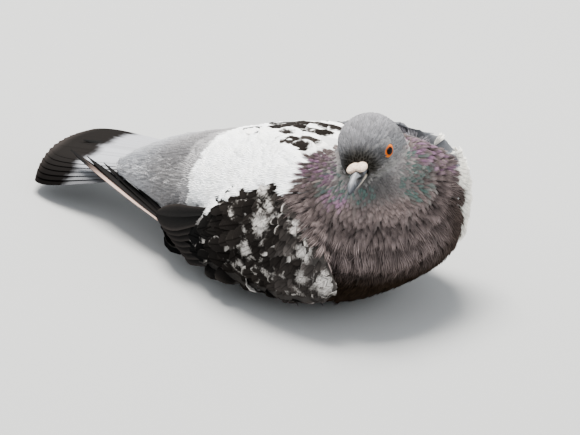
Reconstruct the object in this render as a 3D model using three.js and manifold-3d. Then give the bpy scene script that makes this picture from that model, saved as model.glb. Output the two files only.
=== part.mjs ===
// A feral pigeon resting on its belly with its head drawn in and turned to its right, life size.
// Millimetres. The bird faces -Y, its left side is +X and +Z is up. The origin is on the floor, at the
// middle of the flat that the belly rests on. Every solid has the outline of the plumage it stands for.
import * as THREE from "three";
import { mergeVertices } from "three/addons/utils/BufferGeometryUtils.js";
import Module from "manifold-3d";

const wasm = await Module();
wasm.setup();

// ---- Driving dimensions ----
const GAP = 0.3; // clearance between neighbouring solids
const COARSENESS = 0.2; // how far a hidden seat may stray from the exact shape
const SOFT_COARSENESS = 0.45; // the same between two pieces of plumage
const FLOOR_BLOCK = 400; // side of the block that trims the flats at floor level
const BREAST_FRONT_Y = -80; // foremost point of the breast
const COVERTS_END_Y = 131; // hindmost point of the tail coverts
const TAIL_LENGTH = 118; // a middle tail feather, from under the coverts to its tip
const TAIL_FEATHERS = 12;
const TAIL_ROOT = [3, 72, 38];
const TAIL_FAN = 5; // degrees that the outermost feather turns away from the middle
const TAIL_DROP = 25.7; // how far the tip lies below the root
const TAIL_ROLL_RISE = 8; // how far the left edge of the tip is raised, and the right edge lowered
const TAIL_SKEW = 3; // how much further back the left edge reaches, and the right edge less far
const PRIMARY_TIPS = 4; // primaries whose tips show beyond the folded secondaries
const WING_TIP = [-10, 160, 27]; // tip of the longest primary of the right wing
const LEFT_TIP_OFFSET = [0, 14, -2]; // the left wing tip reaches a little further back
const LEFT_TIP_ARCH = 7; // the left primaries arch over the raised edge of the tail
const SECONDARIES = 5;
const HEAD_CENTRE = [-10, -47, 81];
const HEAD_YAW = -62.5; // degrees, negative turns the bill to the bird's right
const HEAD_PITCH = 0; // degrees, positive lowers the bill
const HEAD_ROLL = -14.5; // degrees
const EYE_RADIUS = 5;
const EYE_PLACE = [9.1, -7, 1.7]; // middle of an eyeball in the head's frame
const BILL_LENGTH = 20; // from the forehead feathers to the tip
const FOOT_SPREAD = 22; // each foot's distance from the middle of the body
const TOE_JOINT_Y = 4;
const SHANK_LENGTH = 29;
const MIDDLE_TOE = 27;
const TOE_SPREAD = 0.32; // radians between neighbouring front toes
const TOE_RADIUS = 2.1;
const CLAW_LENGTH = 7;

const COLOURS = {
  slate: 0x6f7074,
  neck: 0x5d565c,
  breast: 0x5c5057,
  dark: 0x2e2c2e,
  tailGrey: 0x8f939b,
  iris: 0xd9601c,
  cere: 0xe6dccb,
  horn: 0x5a5d66,
  skin: 0xb0524c,
  claw: 0x26221f,
};

// ---- Making shapes ----
const radians = THREE.MathUtils.degToRad;

// A smooth curve through rows of numbers. u runs from 0 at the first row to 1 at the last.
function through(rows, u) {
  const span = u * (rows.length - 3);
  const i = Math.min(Math.floor(span), rows.length - 4);
  const t = span - i;
  return rows[i].map((_, k) => {
    const [a, b, c, d] = [rows[i][k], rows[i + 1][k], rows[i + 2][k], rows[i + 3][k]];
    const slopeStart = (c - a) / 2;
    const slopeEnd = (d - b) / 2;
    return (
      (2 * t ** 3 - 3 * t ** 2 + 1) * b +
      (t ** 3 - 2 * t ** 2 + t) * slopeStart +
      (3 * t ** 2 - 2 * t ** 3) * c +
      (t ** 3 - t ** 2) * slopeEnd
    );
  });
}

// A closed surface through rings of points, with a single point at each end.
function loft(start, rings, end) {
  const around = rings[0].length;
  const points = [start, ...rings.flat(), end];
  const at = (ring, k) => 1 + ring * around + (k % around);
  const faces = [];
  for (let k = 0; k < around; k++) {
    faces.push(0, at(0, k), at(0, k + 1));
    faces.push(points.length - 1, at(rings.length - 1, k + 1), at(rings.length - 1, k));
    for (let r = 0; r + 1 < rings.length; r++) {
      faces.push(at(r, k), at(r + 1, k + 1), at(r, k + 1));
      faces.push(at(r, k), at(r + 1, k), at(r + 1, k + 1));
    }
  }
  const geometry = new THREE.BufferGeometry().setFromPoints(points);
  geometry.setIndex(faces);
  return geometry;
}

// A rounded body. Each row is [x, y, z, tilt, side, up, down]: the middle of a cross-section, its tilt
// about X in degrees and its reach to the sides, up and down. The first and last rows have no reach.
function rounded(rows, { around, along, square = 2 }) {
  const opposite = ([x, y, z, tilt, side, up, down]) => [x, y, z, tilt, -side, -up, -down];
  const padded = [opposite(rows[1]), ...rows, opposite(rows.at(-2))];
  const rings = [];
  for (let r = 1; r < along; r++) {
    const [x, y, z, tilt, side, up, down] = through(padded, r / along);
    const rise = new THREE.Vector3(0, -Math.sin(radians(tilt)), Math.cos(radians(tilt)));
    rings.push(
      Array.from({ length: around }, (_, k) => {
        const angle = (2 * Math.PI * k) / around;
        const power = 2 / square;
        const across = Math.sign(Math.cos(angle)) * Math.abs(Math.cos(angle)) ** power;
        const high = Math.sign(Math.sin(angle)) * Math.abs(Math.sin(angle)) ** power;
        return new THREE.Vector3(x + side * across, y, z).addScaledVector(
          rise,
          (high > 0 ? up : down) * high,
        );
      }),
    );
  }
  const pole = ([x, y, z]) => new THREE.Vector3(x, y, z);
  return loft(pole(rows[0]), rings, pole(rows.at(-1)));
}

// A feather-shaped blade along a curve: widths, thicknesses and edge directions vary with u. Its
// cross-section is a lens with an edge on each side. Room is what it is grown by on all sides.
function blade({ line, width, thickness, across, camber = () => 0, along = 10, room = 0 }) {
  const rings = [];
  const lens = [
    [-1, 0],
    [-0.45, -1],
    [0.45, -1],
    [1, 0],
    [0.45, 1],
    [-0.45, 1],
  ];
  for (let r = 1; r < along; r++) {
    const u = 1 - (1 - r / along) ** 2; // closer together towards the tip
    const centre = line(u);
    const forward = line(Math.min(u + 0.01, 1)).sub(line(Math.max(u - 0.01, 0))).normalize();
    const side = across(u).clone();
    side.addScaledVector(forward, -side.dot(forward)).normalize();
    const face = new THREE.Vector3().crossVectors(side, forward);
    rings.push(
      lens.map(([s, h]) =>
        centre
          .clone()
          .addScaledVector(side, s * (width(u) / 2 + room))
          .addScaledVector(face, h * (thickness(u) / 2 + room) + camber(u) * (1 - s * s)),
      ),
    );
  }
  const end = (u, beyond) => line(u).lerp(line(beyond), room / line(u).distanceTo(line(beyond)));
  return loft(end(0, -0.1), rings, end(1, 1.1));
}

// The width of a flight feather: narrow at the quill, full along the vane and rounded at the tip.
const vaneWidth = (full) => (u) =>
  full * Math.min(1, 0.35 + 1.3 * u) * Math.sqrt(Math.max(0, 1 - Math.max(0, (u - 0.72) / 0.28) ** 2.6));

function solid(geometry) {
  const bare = geometry.clone();
  bare.deleteAttribute("normal");
  bare.deleteAttribute("uv");
  const merged = mergeVertices(bare, 1e-3);
  const made = new wasm.Manifold(
    new wasm.Mesh({
      numProp: 3,
      vertProperties: merged.attributes.position.array,
      triVerts: new Uint32Array(merged.index.array),
    }),
  );
  if (made.volume() > 0) return made;
  const turned = new Uint32Array(merged.index.array).reverse();
  return new wasm.Manifold(
    new wasm.Mesh({ numProp: 3, vertProperties: merged.attributes.position.array, triVerts: turned }),
  );
}

// Room for a solid in its neighbour: the same shape pushed out by a little over the gap, then made coarser.
function roomFor(made, coarseness = COARSENESS) {
  const geometry = geometryOf(made);
  geometry.computeVertexNormals();
  const { position, normal } = geometry.attributes;
  for (let i = 0; i < position.count; i++)
    position.setXYZ(
      i,
      position.getX(i) + (GAP + coarseness) * normal.getX(i),
      position.getY(i) + (GAP + coarseness) * normal.getY(i),
      position.getZ(i) + (GAP + coarseness) * normal.getZ(i),
    );
  return solid(geometry).simplify(coarseness);
}

function geometryOf(made) {
  const { vertProperties, triVerts, numProp } = made.getMesh();
  const geometry = new THREE.BufferGeometry();
  const points = [];
  for (let i = 0; i < vertProperties.length; i += numProp) points.push(...vertProperties.slice(i, i + 3));
  geometry.setAttribute("position", new THREE.Float32BufferAttribute(points, 3));
  geometry.setIndex(Array.from(triVerts));
  return geometry;
}

// A cut can leave crumbs, so only the largest body is kept.
const largest = (made) =>
  made
    .simplify(0.05)
    .decompose()
    .sort((a, b) => b.volume() - a.volume())[0];

const joined = (pieces) => pieces.reduce((all, piece) => all.add(piece));
const without = (made, ...others) => largest(others.reduce((rest, other) => rest.subtract(other), made));

const underFloor = solid(
  new THREE.BoxGeometry(FLOOR_BLOCK, FLOOR_BLOCK, FLOOR_BLOCK).translate(0, 0, -FLOOR_BLOCK / 2),
);

const pigeon = new THREE.Group();

function mesh(name, made, colour, { roughness = 0.8, metalness = 0, parent = pigeon } = {}) {
  const material = new THREE.MeshStandardMaterial({ color: colour, roughness, metalness });
  const piece = new THREE.Mesh(geometryOf(made), material);
  piece.name = name;
  parent.add(piece);
}

// ---- Head, eyes, cere and bill, in the head's own frame: facing -Y, middle of the skull at 0 ----
const headGroup = new THREE.Group();
const turn = (x, y, z, degrees) =>
  new THREE.Quaternion().setFromAxisAngle(new THREE.Vector3(x, y, z), radians(degrees));
headGroup.position.set(...HEAD_CENTRE);
headGroup.quaternion
  .multiply(turn(0, 0, 1, HEAD_YAW))
  .multiply(turn(1, 0, 0, HEAD_PITCH))
  .multiply(turn(0, 1, 0, HEAD_ROLL));
headGroup.updateMatrix();
pigeon.add(headGroup);

const inBody = (made) => solid(geometryOf(made).applyMatrix4(headGroup.matrix));

const headWhole = solid(
  rounded(
    [
      [0, -19.6, -3.5, 0, 0, 0, 0],
      [0, -18.2, -3.2, 0, 4.9, 4.9, 4.2],
      [0, -13.2, -1.8, 0, 10, 11, 8.2],
      [0, -6, 0, 0, 13.6, 15, 12],
      [0, 2, 0, 0, 15.6, 16.7, 14.5],
      [0, 10, -1, 0, 15.1, 15.6, 15],
      [0, 17.2, -4, 0, 10.8, 11, 12],
      [0, 20.8, -6, 0, 0, 0, 0],
    ],
    { around: 20, along: 13 },
  ),
);

const eyes = [-1, 1].map((side) => {
  const ball = new THREE.SphereGeometry(EYE_RADIUS, 12, 7);
  ball.rotateZ(Math.PI / 2).translate(side * EYE_PLACE[0], EYE_PLACE[1], EYE_PLACE[2]);
  return { name: side < 0 ? "eye_right" : "eye_left", made: solid(ball) };
});

const billTipY = -17.5 - BILL_LENGTH;
const billUpper = solid(
  rounded(
    [
      [0, -13, -3.6, 0, 0, 0, 0],
      [0, -14, -3.6, 0, 3.6, 3, 1.6],
      [0, -20, -4.2, 0, 3.5, 2.9, 1.5],
      [0, -27, -5.2, 0, 2.7, 2.3, 1.3],
      [0, -33, -6, 0, 2, 1.9, 1.3],
      [0, billTipY + 1.3, -7.1, -12, 1.1, 1.1, 1.1],
      [0, billTipY, -8.3, -12, 0, 0, 0],
    ],
    { around: 8, along: 9 },
  ),
);
const billLower = without(
  solid(
    rounded(
      [
        [0, -12, -6.4, 0, 0, 0, 0],
        [0, -13, -6.6, 0, 3, 1.2, 1.6],
        [0, -20, -7, 0, 3, 1.3, 1.5],
        [0, -28, -7.4, 0, 2.2, 1.2, 1.3],
        [0, billTipY + 3, -7.7, 0, 1.2, 0.8, 0.9],
        [0, billTipY + 1.6, -7.8, 0, 0, 0, 0],
      ],
      { around: 8, along: 7 },
    ),
  ),
  roomFor(billUpper),
);

// The cere is a pair of chalky swellings that meet over the root of the bill.
const cereLobe = (side) => {
  const lobe = new THREE.SphereGeometry(1, 10, 7);
  lobe.scale(2.9, 4.6, 2.1).rotateZ(side * radians(14)).rotateX(radians(8));
  return solid(lobe.translate(side * 2.2, -21.4, -1.9));
};
const cere = without(cereLobe(-1).add(cereLobe(1)), roomFor(billUpper), roomFor(headWhole));
const faceSolids = [...eyes.map((eye) => eye.made), billUpper, billLower];
const head = without(headWhole, ...faceSolids.map((made) => roomFor(made)));

mesh("head", head, COLOURS.slate, { roughness: 0.85, parent: headGroup });
for (const eye of eyes) mesh(eye.name, eye.made, COLOURS.iris, { roughness: 0.1, parent: headGroup });
mesh("cere", cere, COLOURS.cere, { roughness: 0.9, parent: headGroup });
mesh("bill_upper", billUpper, COLOURS.horn, { roughness: 0.5, parent: headGroup });
mesh("bill_lower", billLower, COLOURS.horn, { roughness: 0.5, parent: headGroup });
const headRoom = inBody(roomFor(headWhole, SOFT_COARSENESS));
const faceRoom = [...faceSolids, cere].map((made) => inBody(roomFor(made)));

// ---- Legs: the shank lies along the floor under the belly, with the toes forward ----
function toe(joint, heading, length) {
  const rows = [0, 0.04, 0.3, 0.55, 0.8, 0.97, 1].map((u, i, all) => {
    const swell = i % 2 ? 1 : 1.12; // pads between the joints
    const thick = i === 0 || i === all.length - 1 ? 0 : TOE_RADIUS * (1 - 0.3 * u) * swell;
    return [0, -u * length, TOE_RADIUS * 0.85, 0, thick, thick, thick];
  });
  const made = solid(rounded(rows, { around: 6, along: 6 }).rotateZ(heading).translate(...joint));
  const tip = new THREE.Vector3(Math.sin(heading), -Math.cos(heading), 0).multiplyScalar(length);
  return { made, tip: tip.add(new THREE.Vector3(...joint)) };
}

function claw(tip, heading) {
  const hook = (u) => TOE_RADIUS + 0.9 * Math.sin(Math.PI * u) - 1.5 * u * u;
  const made = blade({
    line: (u) => new THREE.Vector3(0, -u * CLAW_LENGTH, hook(u)),
    width: (u) => 2.1 * (1 - u) ** 0.7,
    thickness: (u) => 2.3 * (1 - u) ** 0.7,
    across: () => new THREE.Vector3(1, 0, 0),
    along: 4,
  });
  return solid(made.rotateZ(heading).translate(tip.x, tip.y, 0));
}

const legs = [-1, 1].flatMap((side) => {
  const name = side < 0 ? "right" : "left";
  const joint = [side * FOOT_SPREAD, TOE_JOINT_Y, 0];
  const shank = solid(
    rounded(
      [
        [0, SHANK_LENGTH, 4.2, 0, 0, 0, 0],
        [0, SHANK_LENGTH - 0.8, 4.2, 0, 3.2, 3, 3.4],
        [0, SHANK_LENGTH * 0.75, 3.6, 0, 2.2, 2.2, 2.8],
        [0, SHANK_LENGTH * 0.35, 3.2, 0, 2, 2, 2.4],
        [0, 3.6, 3, 0, 2.4, 2, 2.4],
        [0, 3, 3, 0, 0, 0, 0],
      ],
      { around: 8, along: 7 },
    ).translate(...joint),
  );
  const toes = [
    { label: "middle", heading: 0, length: MIDDLE_TOE },
    { label: "inner", heading: -side * TOE_SPREAD, length: MIDDLE_TOE * 0.78 },
    { label: "outer", heading: side * TOE_SPREAD, length: MIDDLE_TOE * 0.74 },
    { label: "hind", heading: Math.PI - side * TOE_SPREAD, length: MIDDLE_TOE * 0.44 },
  ].map((kind) => ({ ...kind, ...toe(joint, kind.heading, kind.length) }));
  const foot = without(joined(toes.map((t) => t.made)), underFloor);
  const claws = toes.map((t) => ({
    name: `claw_${name}_${t.label}`,
    made: without(claw(t.tip, t.heading), roomFor(foot), underFloor),
    colour: COLOURS.claw,
  }));
  return [
    { name: `shank_${name}`, made: without(shank, roomFor(foot), underFloor), colour: COLOURS.skin },
    { name: `foot_${name}`, made: foot, colour: COLOURS.skin },
    ...claws,
  ];
});
for (const piece of legs) mesh(piece.name, piece.made, piece.colour, { roughness: 0.6 });

// The hollow in the belly that each leg is folded into.
const legHollows = [-1, 1].map((side) =>
  solid(
    rounded(
      [
        [0, SHANK_LENGTH + 3, 0, 0, 0, 0, 0],
        [0, SHANK_LENGTH + 1, 0, 0, 6, 9, 1],
        [0, 12, 0, 0, 9, 8.5, 1],
        [0, -12, 0, 0, 13, 8, 1],
        [0, -MIDDLE_TOE - CLAW_LENGTH - 1, 0, 0, 14, 7, 1],
        [0, -MIDDLE_TOE - CLAW_LENGTH - 3, 0, 0, 0, 0, 0],
      ],
      { around: 8, along: 7, square: 3 },
    ).translate(side * FOOT_SPREAD, TOE_JOINT_Y, 0),
  ),
);

// ---- Neck: the ruffled collar between the head and the shoulders ----
const neckWhole = solid(
  rounded(
    [
      [0, -30, 30, 60, 0, 0, 0],
      [0, -33, 37, 60, 26, 22, 22],
      [0, -38, 50, 64, 36, 32, 33],
      [-1, -42, 62, 70, 33, 30, 32],
      [0, -43, 71, 78, 27, 25, 24],
      [3, -41, 79, 84, 18, 18, 14],
      [5, -39, 85, 88, 0, 0, 0],
    ],
    { around: 20, along: 11 },
  ),
);
const neck = without(neckWhole, headRoom, ...faceRoom);
mesh("neck", neck, COLOURS.neck);
const neckRoom = roomFor(neckWhole, SOFT_COARSENESS);

// ---- Trunk: breast, back, belly and the coverts that taper on to the tail ----
const trunkWhole = solid(
  rounded(
    [
      [0, BREAST_FRONT_Y, 41, 0, 0, 0, 0],
      [0, -77, 41, 0, 20, 17, 13],
      [0, -68, 40, 0, 34, 30, 21],
      [0, -50, 39, 0, 43, 38, 32],
      [0, -25, 38, 0, 45, 43, 42],
      [0, 5, 37, 0, 44, 41, 43],
      [0, 35, 36, 0, 40, 33, 40],
      [1, 62, 35, 0, 34, 24, 31],
      [2, 88, 33, 0, 29, 17, 19],
      [3, 108, 30, 0, 25, 12, 12],
      [4, 125, 27, 0, 18, 5, 5],
      [4, COVERTS_END_Y, 26, 0, 0, 0, 0],
    ],
    { around: 26, along: 21, square: 2.35 },
  ),
);

// ---- Tail: twelve feathers in a shallow fan, the middle pair on top and the outer ones lower ----
function tailFeather(index, room) {
  const place = (2 * index) / (TAIL_FEATHERS - 1) - 1; // -1 at the right edge, 1 at the left edge
  const outer = Math.abs(place);
  const length = TAIL_LENGTH - 5 * outer ** 2 + TAIL_SKEW * place;
  const fan = radians(TAIL_FAN * place);
  const root = new THREE.Vector3(TAIL_ROOT[0] + 9 * place, TAIL_ROOT[1], TAIL_ROOT[2] - 2 * outer);
  const slope = (u) => -TAIL_DROP * u - 2 * u * outer ** 2 + TAIL_ROLL_RISE * place * u + 3 * u * u;
  return solid(
    blade({
      line: (u) =>
        new THREE.Vector3(Math.sin(fan) * length * u, Math.cos(fan) * length * u, slope(u)).add(root),
      width: vaneWidth(20),
      thickness: (u) => 2.4 - 1.3 * u,
      across: () => new THREE.Vector3(1, 0, 0.1 - 0.1 * place),
      camber: (u) => 0.5 * u,
      along: 4,
      room,
    }),
  );
}
const tailOf = (room) => joined(Array.from({ length: TAIL_FEATHERS }, (_, i) => tailFeather(i, room)));

// ---- Wings: coverts over the side of the body, then the secondaries, then the primary tips ----
// Each row is [lower edge x y z, upper edge x y z, bulge, thickness] of the right wing.
const WING_ROWS = [
  [-45, -65, 27, -45, -65, 29, 0, 0],
  [-48, -60, 19, -45, -52, 44, 4, 5],
  [-51, -46, 14, -38, -30, 66, 9, 8],
  [-50, -20, 10, -24, -9, 78, 16, 10],
  [-46, 10, 9, -28, 14, 63, 15, 9],
  [-41, 36, 8, -33, 33, 42, 9, 7],
  [-35, 58, 9, -33, 56, 29, 5, 5],
  [-31, 68, 12, -31, 68, 24, 0, 0],
];
const WING_STEPS = 7; // points on each face of a cross-section

function wingSurface(wingRows, u) {
  const flat = (row) => [...row.slice(0, 6), -row[6], -row[7]];
  const rows = [flat(wingRows[1]), ...wingRows, flat(wingRows.at(-2))];
  const [lx, ly, lz, ux, uy, uz, bulge, thick] = through(rows, u);
  const low = new THREE.Vector3(lx, ly, lz);
  const high = new THREE.Vector3(ux, uy, uz);
  const inwards = new THREE.Vector3(0, -1, 0).cross(high.clone().sub(low)).normalize().negate();
  return (v, depth) => {
    const arch = Math.max(0, 4 * v * (1 - v));
    const shift = depth * thick * arch ** 0.5 - bulge * arch ** 0.8;
    return low.clone().lerp(high, v).addScaledVector(inwards, shift);
  };
}

function wingShell(wingRows) {
  const along = 13;
  const rings = Array.from({ length: along - 1 }, (_, r) => {
    const point = wingSurface(wingRows, (r + 1) / along);
    const outer = Array.from({ length: WING_STEPS }, (__, k) => point(k / WING_STEPS, 0));
    const inner = Array.from({ length: WING_STEPS }, (__, k) => point(1 - k / WING_STEPS, 1));
    return [...outer, ...inner];
  });
  return solid(loft(wingSurface(wingRows, 0)(0.5, 0), rings, wingSurface(wingRows, 1)(0.5, 0)));
}

// The left shoulder is held higher and further forward than the right one.
const LEFT_WING_ROWS = [
  [-46, -58, 35, -46, -58, 39, 0, 0],
  [-46, -55, 27, -42, -51, 66, 3, 5],
  [-49, -42, 20, -32, -44, 79, 6, 8],
  [-50, -18, 14, -23, -12, 82, 13, 10],
  ...WING_ROWS.slice(4),
];

// Secondaries: a fan of broad feathers that leave the coverts and end in a stepped edge.
function secondary(index, room) {
  const place = index / (SECONDARIES - 1); // 0 at the lower edge, 1 at the upper edge
  const root = new THREE.Vector3(-40 + 3 * place, 18 + 2 * place, 15 + 24 * place);
  const tip = new THREE.Vector3(-27 - 3 * place, 84 - 13 * place, 13 + 11 * place);
  const bow = (u) => new THREE.Vector3(-7 * Math.sin(Math.PI * u) - 0.7 * index, 0, 0);
  return solid(
    blade({
      line: (u) => root.clone().lerp(tip, u).add(bow(u)),
      width: vaneWidth(17),
      thickness: (u) => 2.4 - 1.2 * u,
      across: () => new THREE.Vector3(0.35, 0, 1),
      along: 4,
      room,
    }),
  );
}
const secondariesOf = (room) => joined(Array.from({ length: SECONDARIES }, (_, i) => secondary(i, room)));

// Primaries: narrow pointed feathers stacked edge to edge, crossing low over the root of the tail.
function primary(index, tipOffset, arch) {
  const root = new THREE.Vector3(-37, 46, 18 + 0.4 * index);
  const step = new THREE.Vector3(-1.4, -13, 0.3).multiplyScalar(index);
  const tip = new THREE.Vector3(...WING_TIP).add(tipOffset).add(step);
  return solid(
    blade({
      line: (u) =>
        root
          .clone()
          .lerp(tip, u)
          .add(new THREE.Vector3(0, 0, arch * Math.sin(Math.PI * u))),
      width: (u) => 10 * Math.min(1, 0.6 + u) * (1 - u ** 5) + 0.6,
      thickness: (u) => 2.4 - 1.1 * u,
      across: () => new THREE.Vector3(-0.94, 0.17, 0.28),
      along: 4,
    }),
  );
}

const mirrored = (made) => solid(geometryOf(made).scale(-1, 1, 1));
const bodySpace = [roomFor(trunkWhole, SOFT_COARSENESS), neckRoom];
const tailRoom = tailOf(GAP + SOFT_COARSENESS);
const wings = ["right", "left"].map((name) => {
  const isRight = name === "right";
  const place = isRight ? (made) => made : mirrored;
  const shell = place(wingShell(isRight ? WING_ROWS : LEFT_WING_ROWS));
  const shellRoom = roomFor(shell, SOFT_COARSENESS);
  const offset = new THREE.Vector3(...(isRight ? [0, 0, 0] : LEFT_TIP_OFFSET));
  const arch = isRight ? 0 : LEFT_TIP_ARCH;
  const tips = joined(Array.from({ length: PRIMARY_TIPS }, (_, i) => primary(i, offset, arch)));
  const hidden = [...bodySpace, shellRoom, tailRoom, underFloor];
  return {
    name,
    coverts: without(shell, ...bodySpace, underFloor),
    secondaries: without(place(secondariesOf(0)), ...hidden),
    primaries: without(place(tips), place(secondariesOf(GAP * 2)), ...hidden),
  };
});
for (const wing of wings) {
  mesh(`wing_${wing.name}`, wing.coverts, COLOURS.dark);
  mesh(`secondaries_${wing.name}`, wing.secondaries, COLOURS.dark);
  mesh(`primaries_${wing.name}`, wing.primaries, COLOURS.dark);
}

const trunk = without(trunkWhole, neckRoom, headRoom, ...faceRoom, ...legHollows, underFloor);
mesh("trunk", trunk, COLOURS.breast);
mesh("tail", without(tailOf(0), bodySpace[0], underFloor), COLOURS.tailGrey);

export default pigeon;
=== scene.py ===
"""A feral pigeon resting on its belly: skin, plumage, eyes, bill, legs and a plain studio, in metres.

The bird faces -Y, its left side is +X and +Z is up. Lengths are written in millimetres times MM.
"""

import math

import bpy
import numpy as np
from mathutils import Euler, Matrix, Vector, noise
from mathutils.bvhtree import BVHTree


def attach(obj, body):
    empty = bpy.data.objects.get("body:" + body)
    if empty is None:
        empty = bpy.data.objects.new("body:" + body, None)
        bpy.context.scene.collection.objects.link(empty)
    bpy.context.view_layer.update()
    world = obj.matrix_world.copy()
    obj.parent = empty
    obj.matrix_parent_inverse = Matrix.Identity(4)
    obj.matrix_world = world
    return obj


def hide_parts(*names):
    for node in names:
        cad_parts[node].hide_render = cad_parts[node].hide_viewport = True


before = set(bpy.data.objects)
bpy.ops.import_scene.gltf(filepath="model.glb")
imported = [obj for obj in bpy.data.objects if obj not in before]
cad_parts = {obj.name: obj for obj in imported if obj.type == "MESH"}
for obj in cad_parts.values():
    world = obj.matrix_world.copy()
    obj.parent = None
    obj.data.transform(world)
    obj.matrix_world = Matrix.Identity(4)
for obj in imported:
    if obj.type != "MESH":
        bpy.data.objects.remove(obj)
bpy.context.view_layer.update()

# ---- Skin -------------------------------------------------------------------------------------------------
# One unbroken skin over the head, neck, body and folded wings. It stands for the flesh nodes and lies inside
# their outline by the depth of the coat. Its lids close over the rims of the eyeballs.

MM = 0.001
FLESH = ("head", "neck", "trunk", "wing_right", "wing_left")
SEAM_COVER = 0.6 * MM  # the flesh is swollen by this, so that the clearances between the solids close
SKIN_GRAIN = 1.3 * MM
FLOOR_CLEARANCE = 0.25 * MM
TIER_START, TIER_STEP, TIER_HEIGHT = 24 * MM, 8.5 * MM, 2.6 * MM
HEAD_CENTRE = Vector((-10, -47, 81)) * MM
HEAD_TURN = (
    Matrix.Rotation(math.radians(-62.5), 3, "Z") @ Matrix.Rotation(math.radians(-14.5), 3, "Y")
)
HEAD_AXES = np.array(HEAD_TURN)  # its columns are the head's own X, Y and Z
THROAT = np.array((-12, -50, 72)) * MM  # the breast feathers fan out from here


def select_only(*objects):
    """Makes these the only selected objects, and the first one active."""
    bpy.ops.object.select_all(action="DESELECT")
    for item in objects:
        item.select_set(True)
    bpy.context.view_layer.objects.active = objects[0]


def edit_all():
    bpy.ops.object.mode_set(mode="EDIT")
    bpy.ops.mesh.select_all(action="SELECT")


def leave_edit():
    bpy.ops.object.mode_set(mode="OBJECT")


def pick(item, test):
    """Opens the mesh for editing with only the vertices that pass the test selected."""
    edit_all()
    bpy.ops.mesh.select_all(action="DESELECT")
    leave_edit()
    for vertex in item.data.vertices:
        vertex.select = test(vertex.co)
    bpy.ops.object.mode_set(mode="EDIT")


def close_solid():
    """Turns the faces of the mesh outwards and leaves edit mode."""
    bpy.ops.mesh.select_all(action="SELECT")
    bpy.ops.mesh.normals_make_consistent(inside=False)
    leave_edit()


def apply_modifier(item, kind, **settings):
    """Adds a modifier with these settings and applies it."""
    made = item.modifiers.new(kind.title(), kind)
    for setting, value in settings.items():
        setattr(made, setting, value)
    select_only(item)
    bpy.ops.object.modifier_apply(modifier=made.name)


def read(items, name, width=1, kind=np.float32):
    """One property of all the items, as an array with this many columns."""
    flat = np.empty(len(items) * width, kind)
    items.foreach_get(name, flat)
    return flat.reshape(-1, width) if width > 1 else flat


def points_of(mesh):
    return read(mesh.vertices, "co", 3).astype(float)


def move_points(mesh, places):
    mesh.vertices.foreach_set("co", places.astype(np.float32).ravel())
    mesh.update()


def store(mesh, name, values):
    """Stores a number for each vertex."""
    made = mesh.attributes.new(name, "FLOAT", "POINT")
    made.data.foreach_set("value", values.astype(np.float32).ravel())


def solid_tree(mesh):
    """A search tree over the triangles of a mesh."""
    mesh.calc_loop_triangles()
    corners = [tuple(t.vertices) for t in mesh.loop_triangles]
    return BVHTree.FromPolygons([v.co for v in mesh.vertices], corners)


def smoothstep(low, high, values):
    t = np.clip((values - low) / (high - low), 0, 1)
    return t * t * (3 - 2 * t)


def ramp(low, high, values):
    """A smoothstep between two lengths in millimetres."""
    return smoothstep(low * MM, high * MM, values)


def in_head(points):
    """Points in the head's own frame: facing -Y, with the middle of the skull at 0."""
    return (points - np.array(HEAD_CENTRE)) @ HEAD_AXES


def from_head(points):
    return np.asarray(points) @ HEAD_AXES.T + np.array(HEAD_CENTRE)


def wobble(points, size, seed):
    """Smooth noise about 0 whose lumps are about this size, one value for each point."""
    shift = Vector((seed * 17.3, seed * 5.1, seed * 9.7))
    return np.array([noise.noise(Vector(p) / size + shift) for p in points])


copies = []
for node_name in FLESH + ("eye_right", "eye_left"):
    copy = bpy.data.objects.new("flesh_" + node_name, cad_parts[node_name].data.copy())
    if node_name.startswith("eye"):  # filled in a little short of the globe, which comes later
        middle = Vector(points_of(copy.data).mean(0))
        copy.data.transform(Matrix.Translation(middle) @ Matrix.Scale(0.88, 4) @ Matrix.Translation(-middle))
    bpy.context.scene.collection.objects.link(copy)
    copies.append(copy)
select_only(*copies)
bpy.ops.object.join()
skin = bpy.context.view_layer.objects.active
skin.name = "skin"
edit_all()
bpy.ops.mesh.remove_doubles(threshold=0.02 * MM)
leave_edit()
apply_modifier(skin, "DISPLACE", strength=SEAM_COVER, mid_level=0)
apply_modifier(skin, "REMESH", mode="VOXEL", voxel_size=SKIN_GRAIN)
edit_all()
bpy.ops.mesh.separate(type="LOOSE")
leave_edit()
shells = sorted(bpy.context.selected_objects, key=lambda shell: len(shell.data.vertices))
skin = shells[-1]
for shell in shells[:-1]:  # pockets that the clearances left inside
    bpy.data.objects.remove(shell)
skin.name = "skin"
skin.data.materials.clear()
apply_modifier(skin, "SMOOTH", factor=0.5, iterations=14)

flesh_trees = [solid_tree(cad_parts[part].data) for part in FLESH]


def nearest_part(points):
    """The index in FLESH of the solid that is nearest to each point."""
    gaps = [[tree.find_nearest(Vector(p))[3] for p in points] for tree in flesh_trees]
    return np.argmin(np.array(gaps), axis=0)


def tiers(points):
    """The loose breast feathers stand in tiers, one below the other, since the neck is drawn in.
    Gives how far down its tier each point is, from 0 to 1, and how marked the tiers are there."""
    away = np.linalg.norm(points - THROAT, axis=1)
    bent = away + 2.4 * MM * wobble(points, 18 * MM, 3)
    phase = np.mod((bent - TIER_START) / TIER_STEP, 1)
    front = ramp(-30, -55, points[:, 1]) * ramp(12, 24, points[:, 2])
    ends = ramp(0, 5, away - TIER_START) * (1 - ramp(48, 56, away))
    middle = 1 - 0.6 * ramp(2, 16, points[:, 0])
    return phase, front * ends * middle * np.clip(0.75 + 0.9 * wobble(points, 12 * MM, 5), 0, 1)


def ruffle(points):
    """How far the tiers push the skin out."""
    phase, marked = tiers(points)
    return phase**1.4 * (1 - smoothstep(0.84, 1, phase)) * marked


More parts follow.
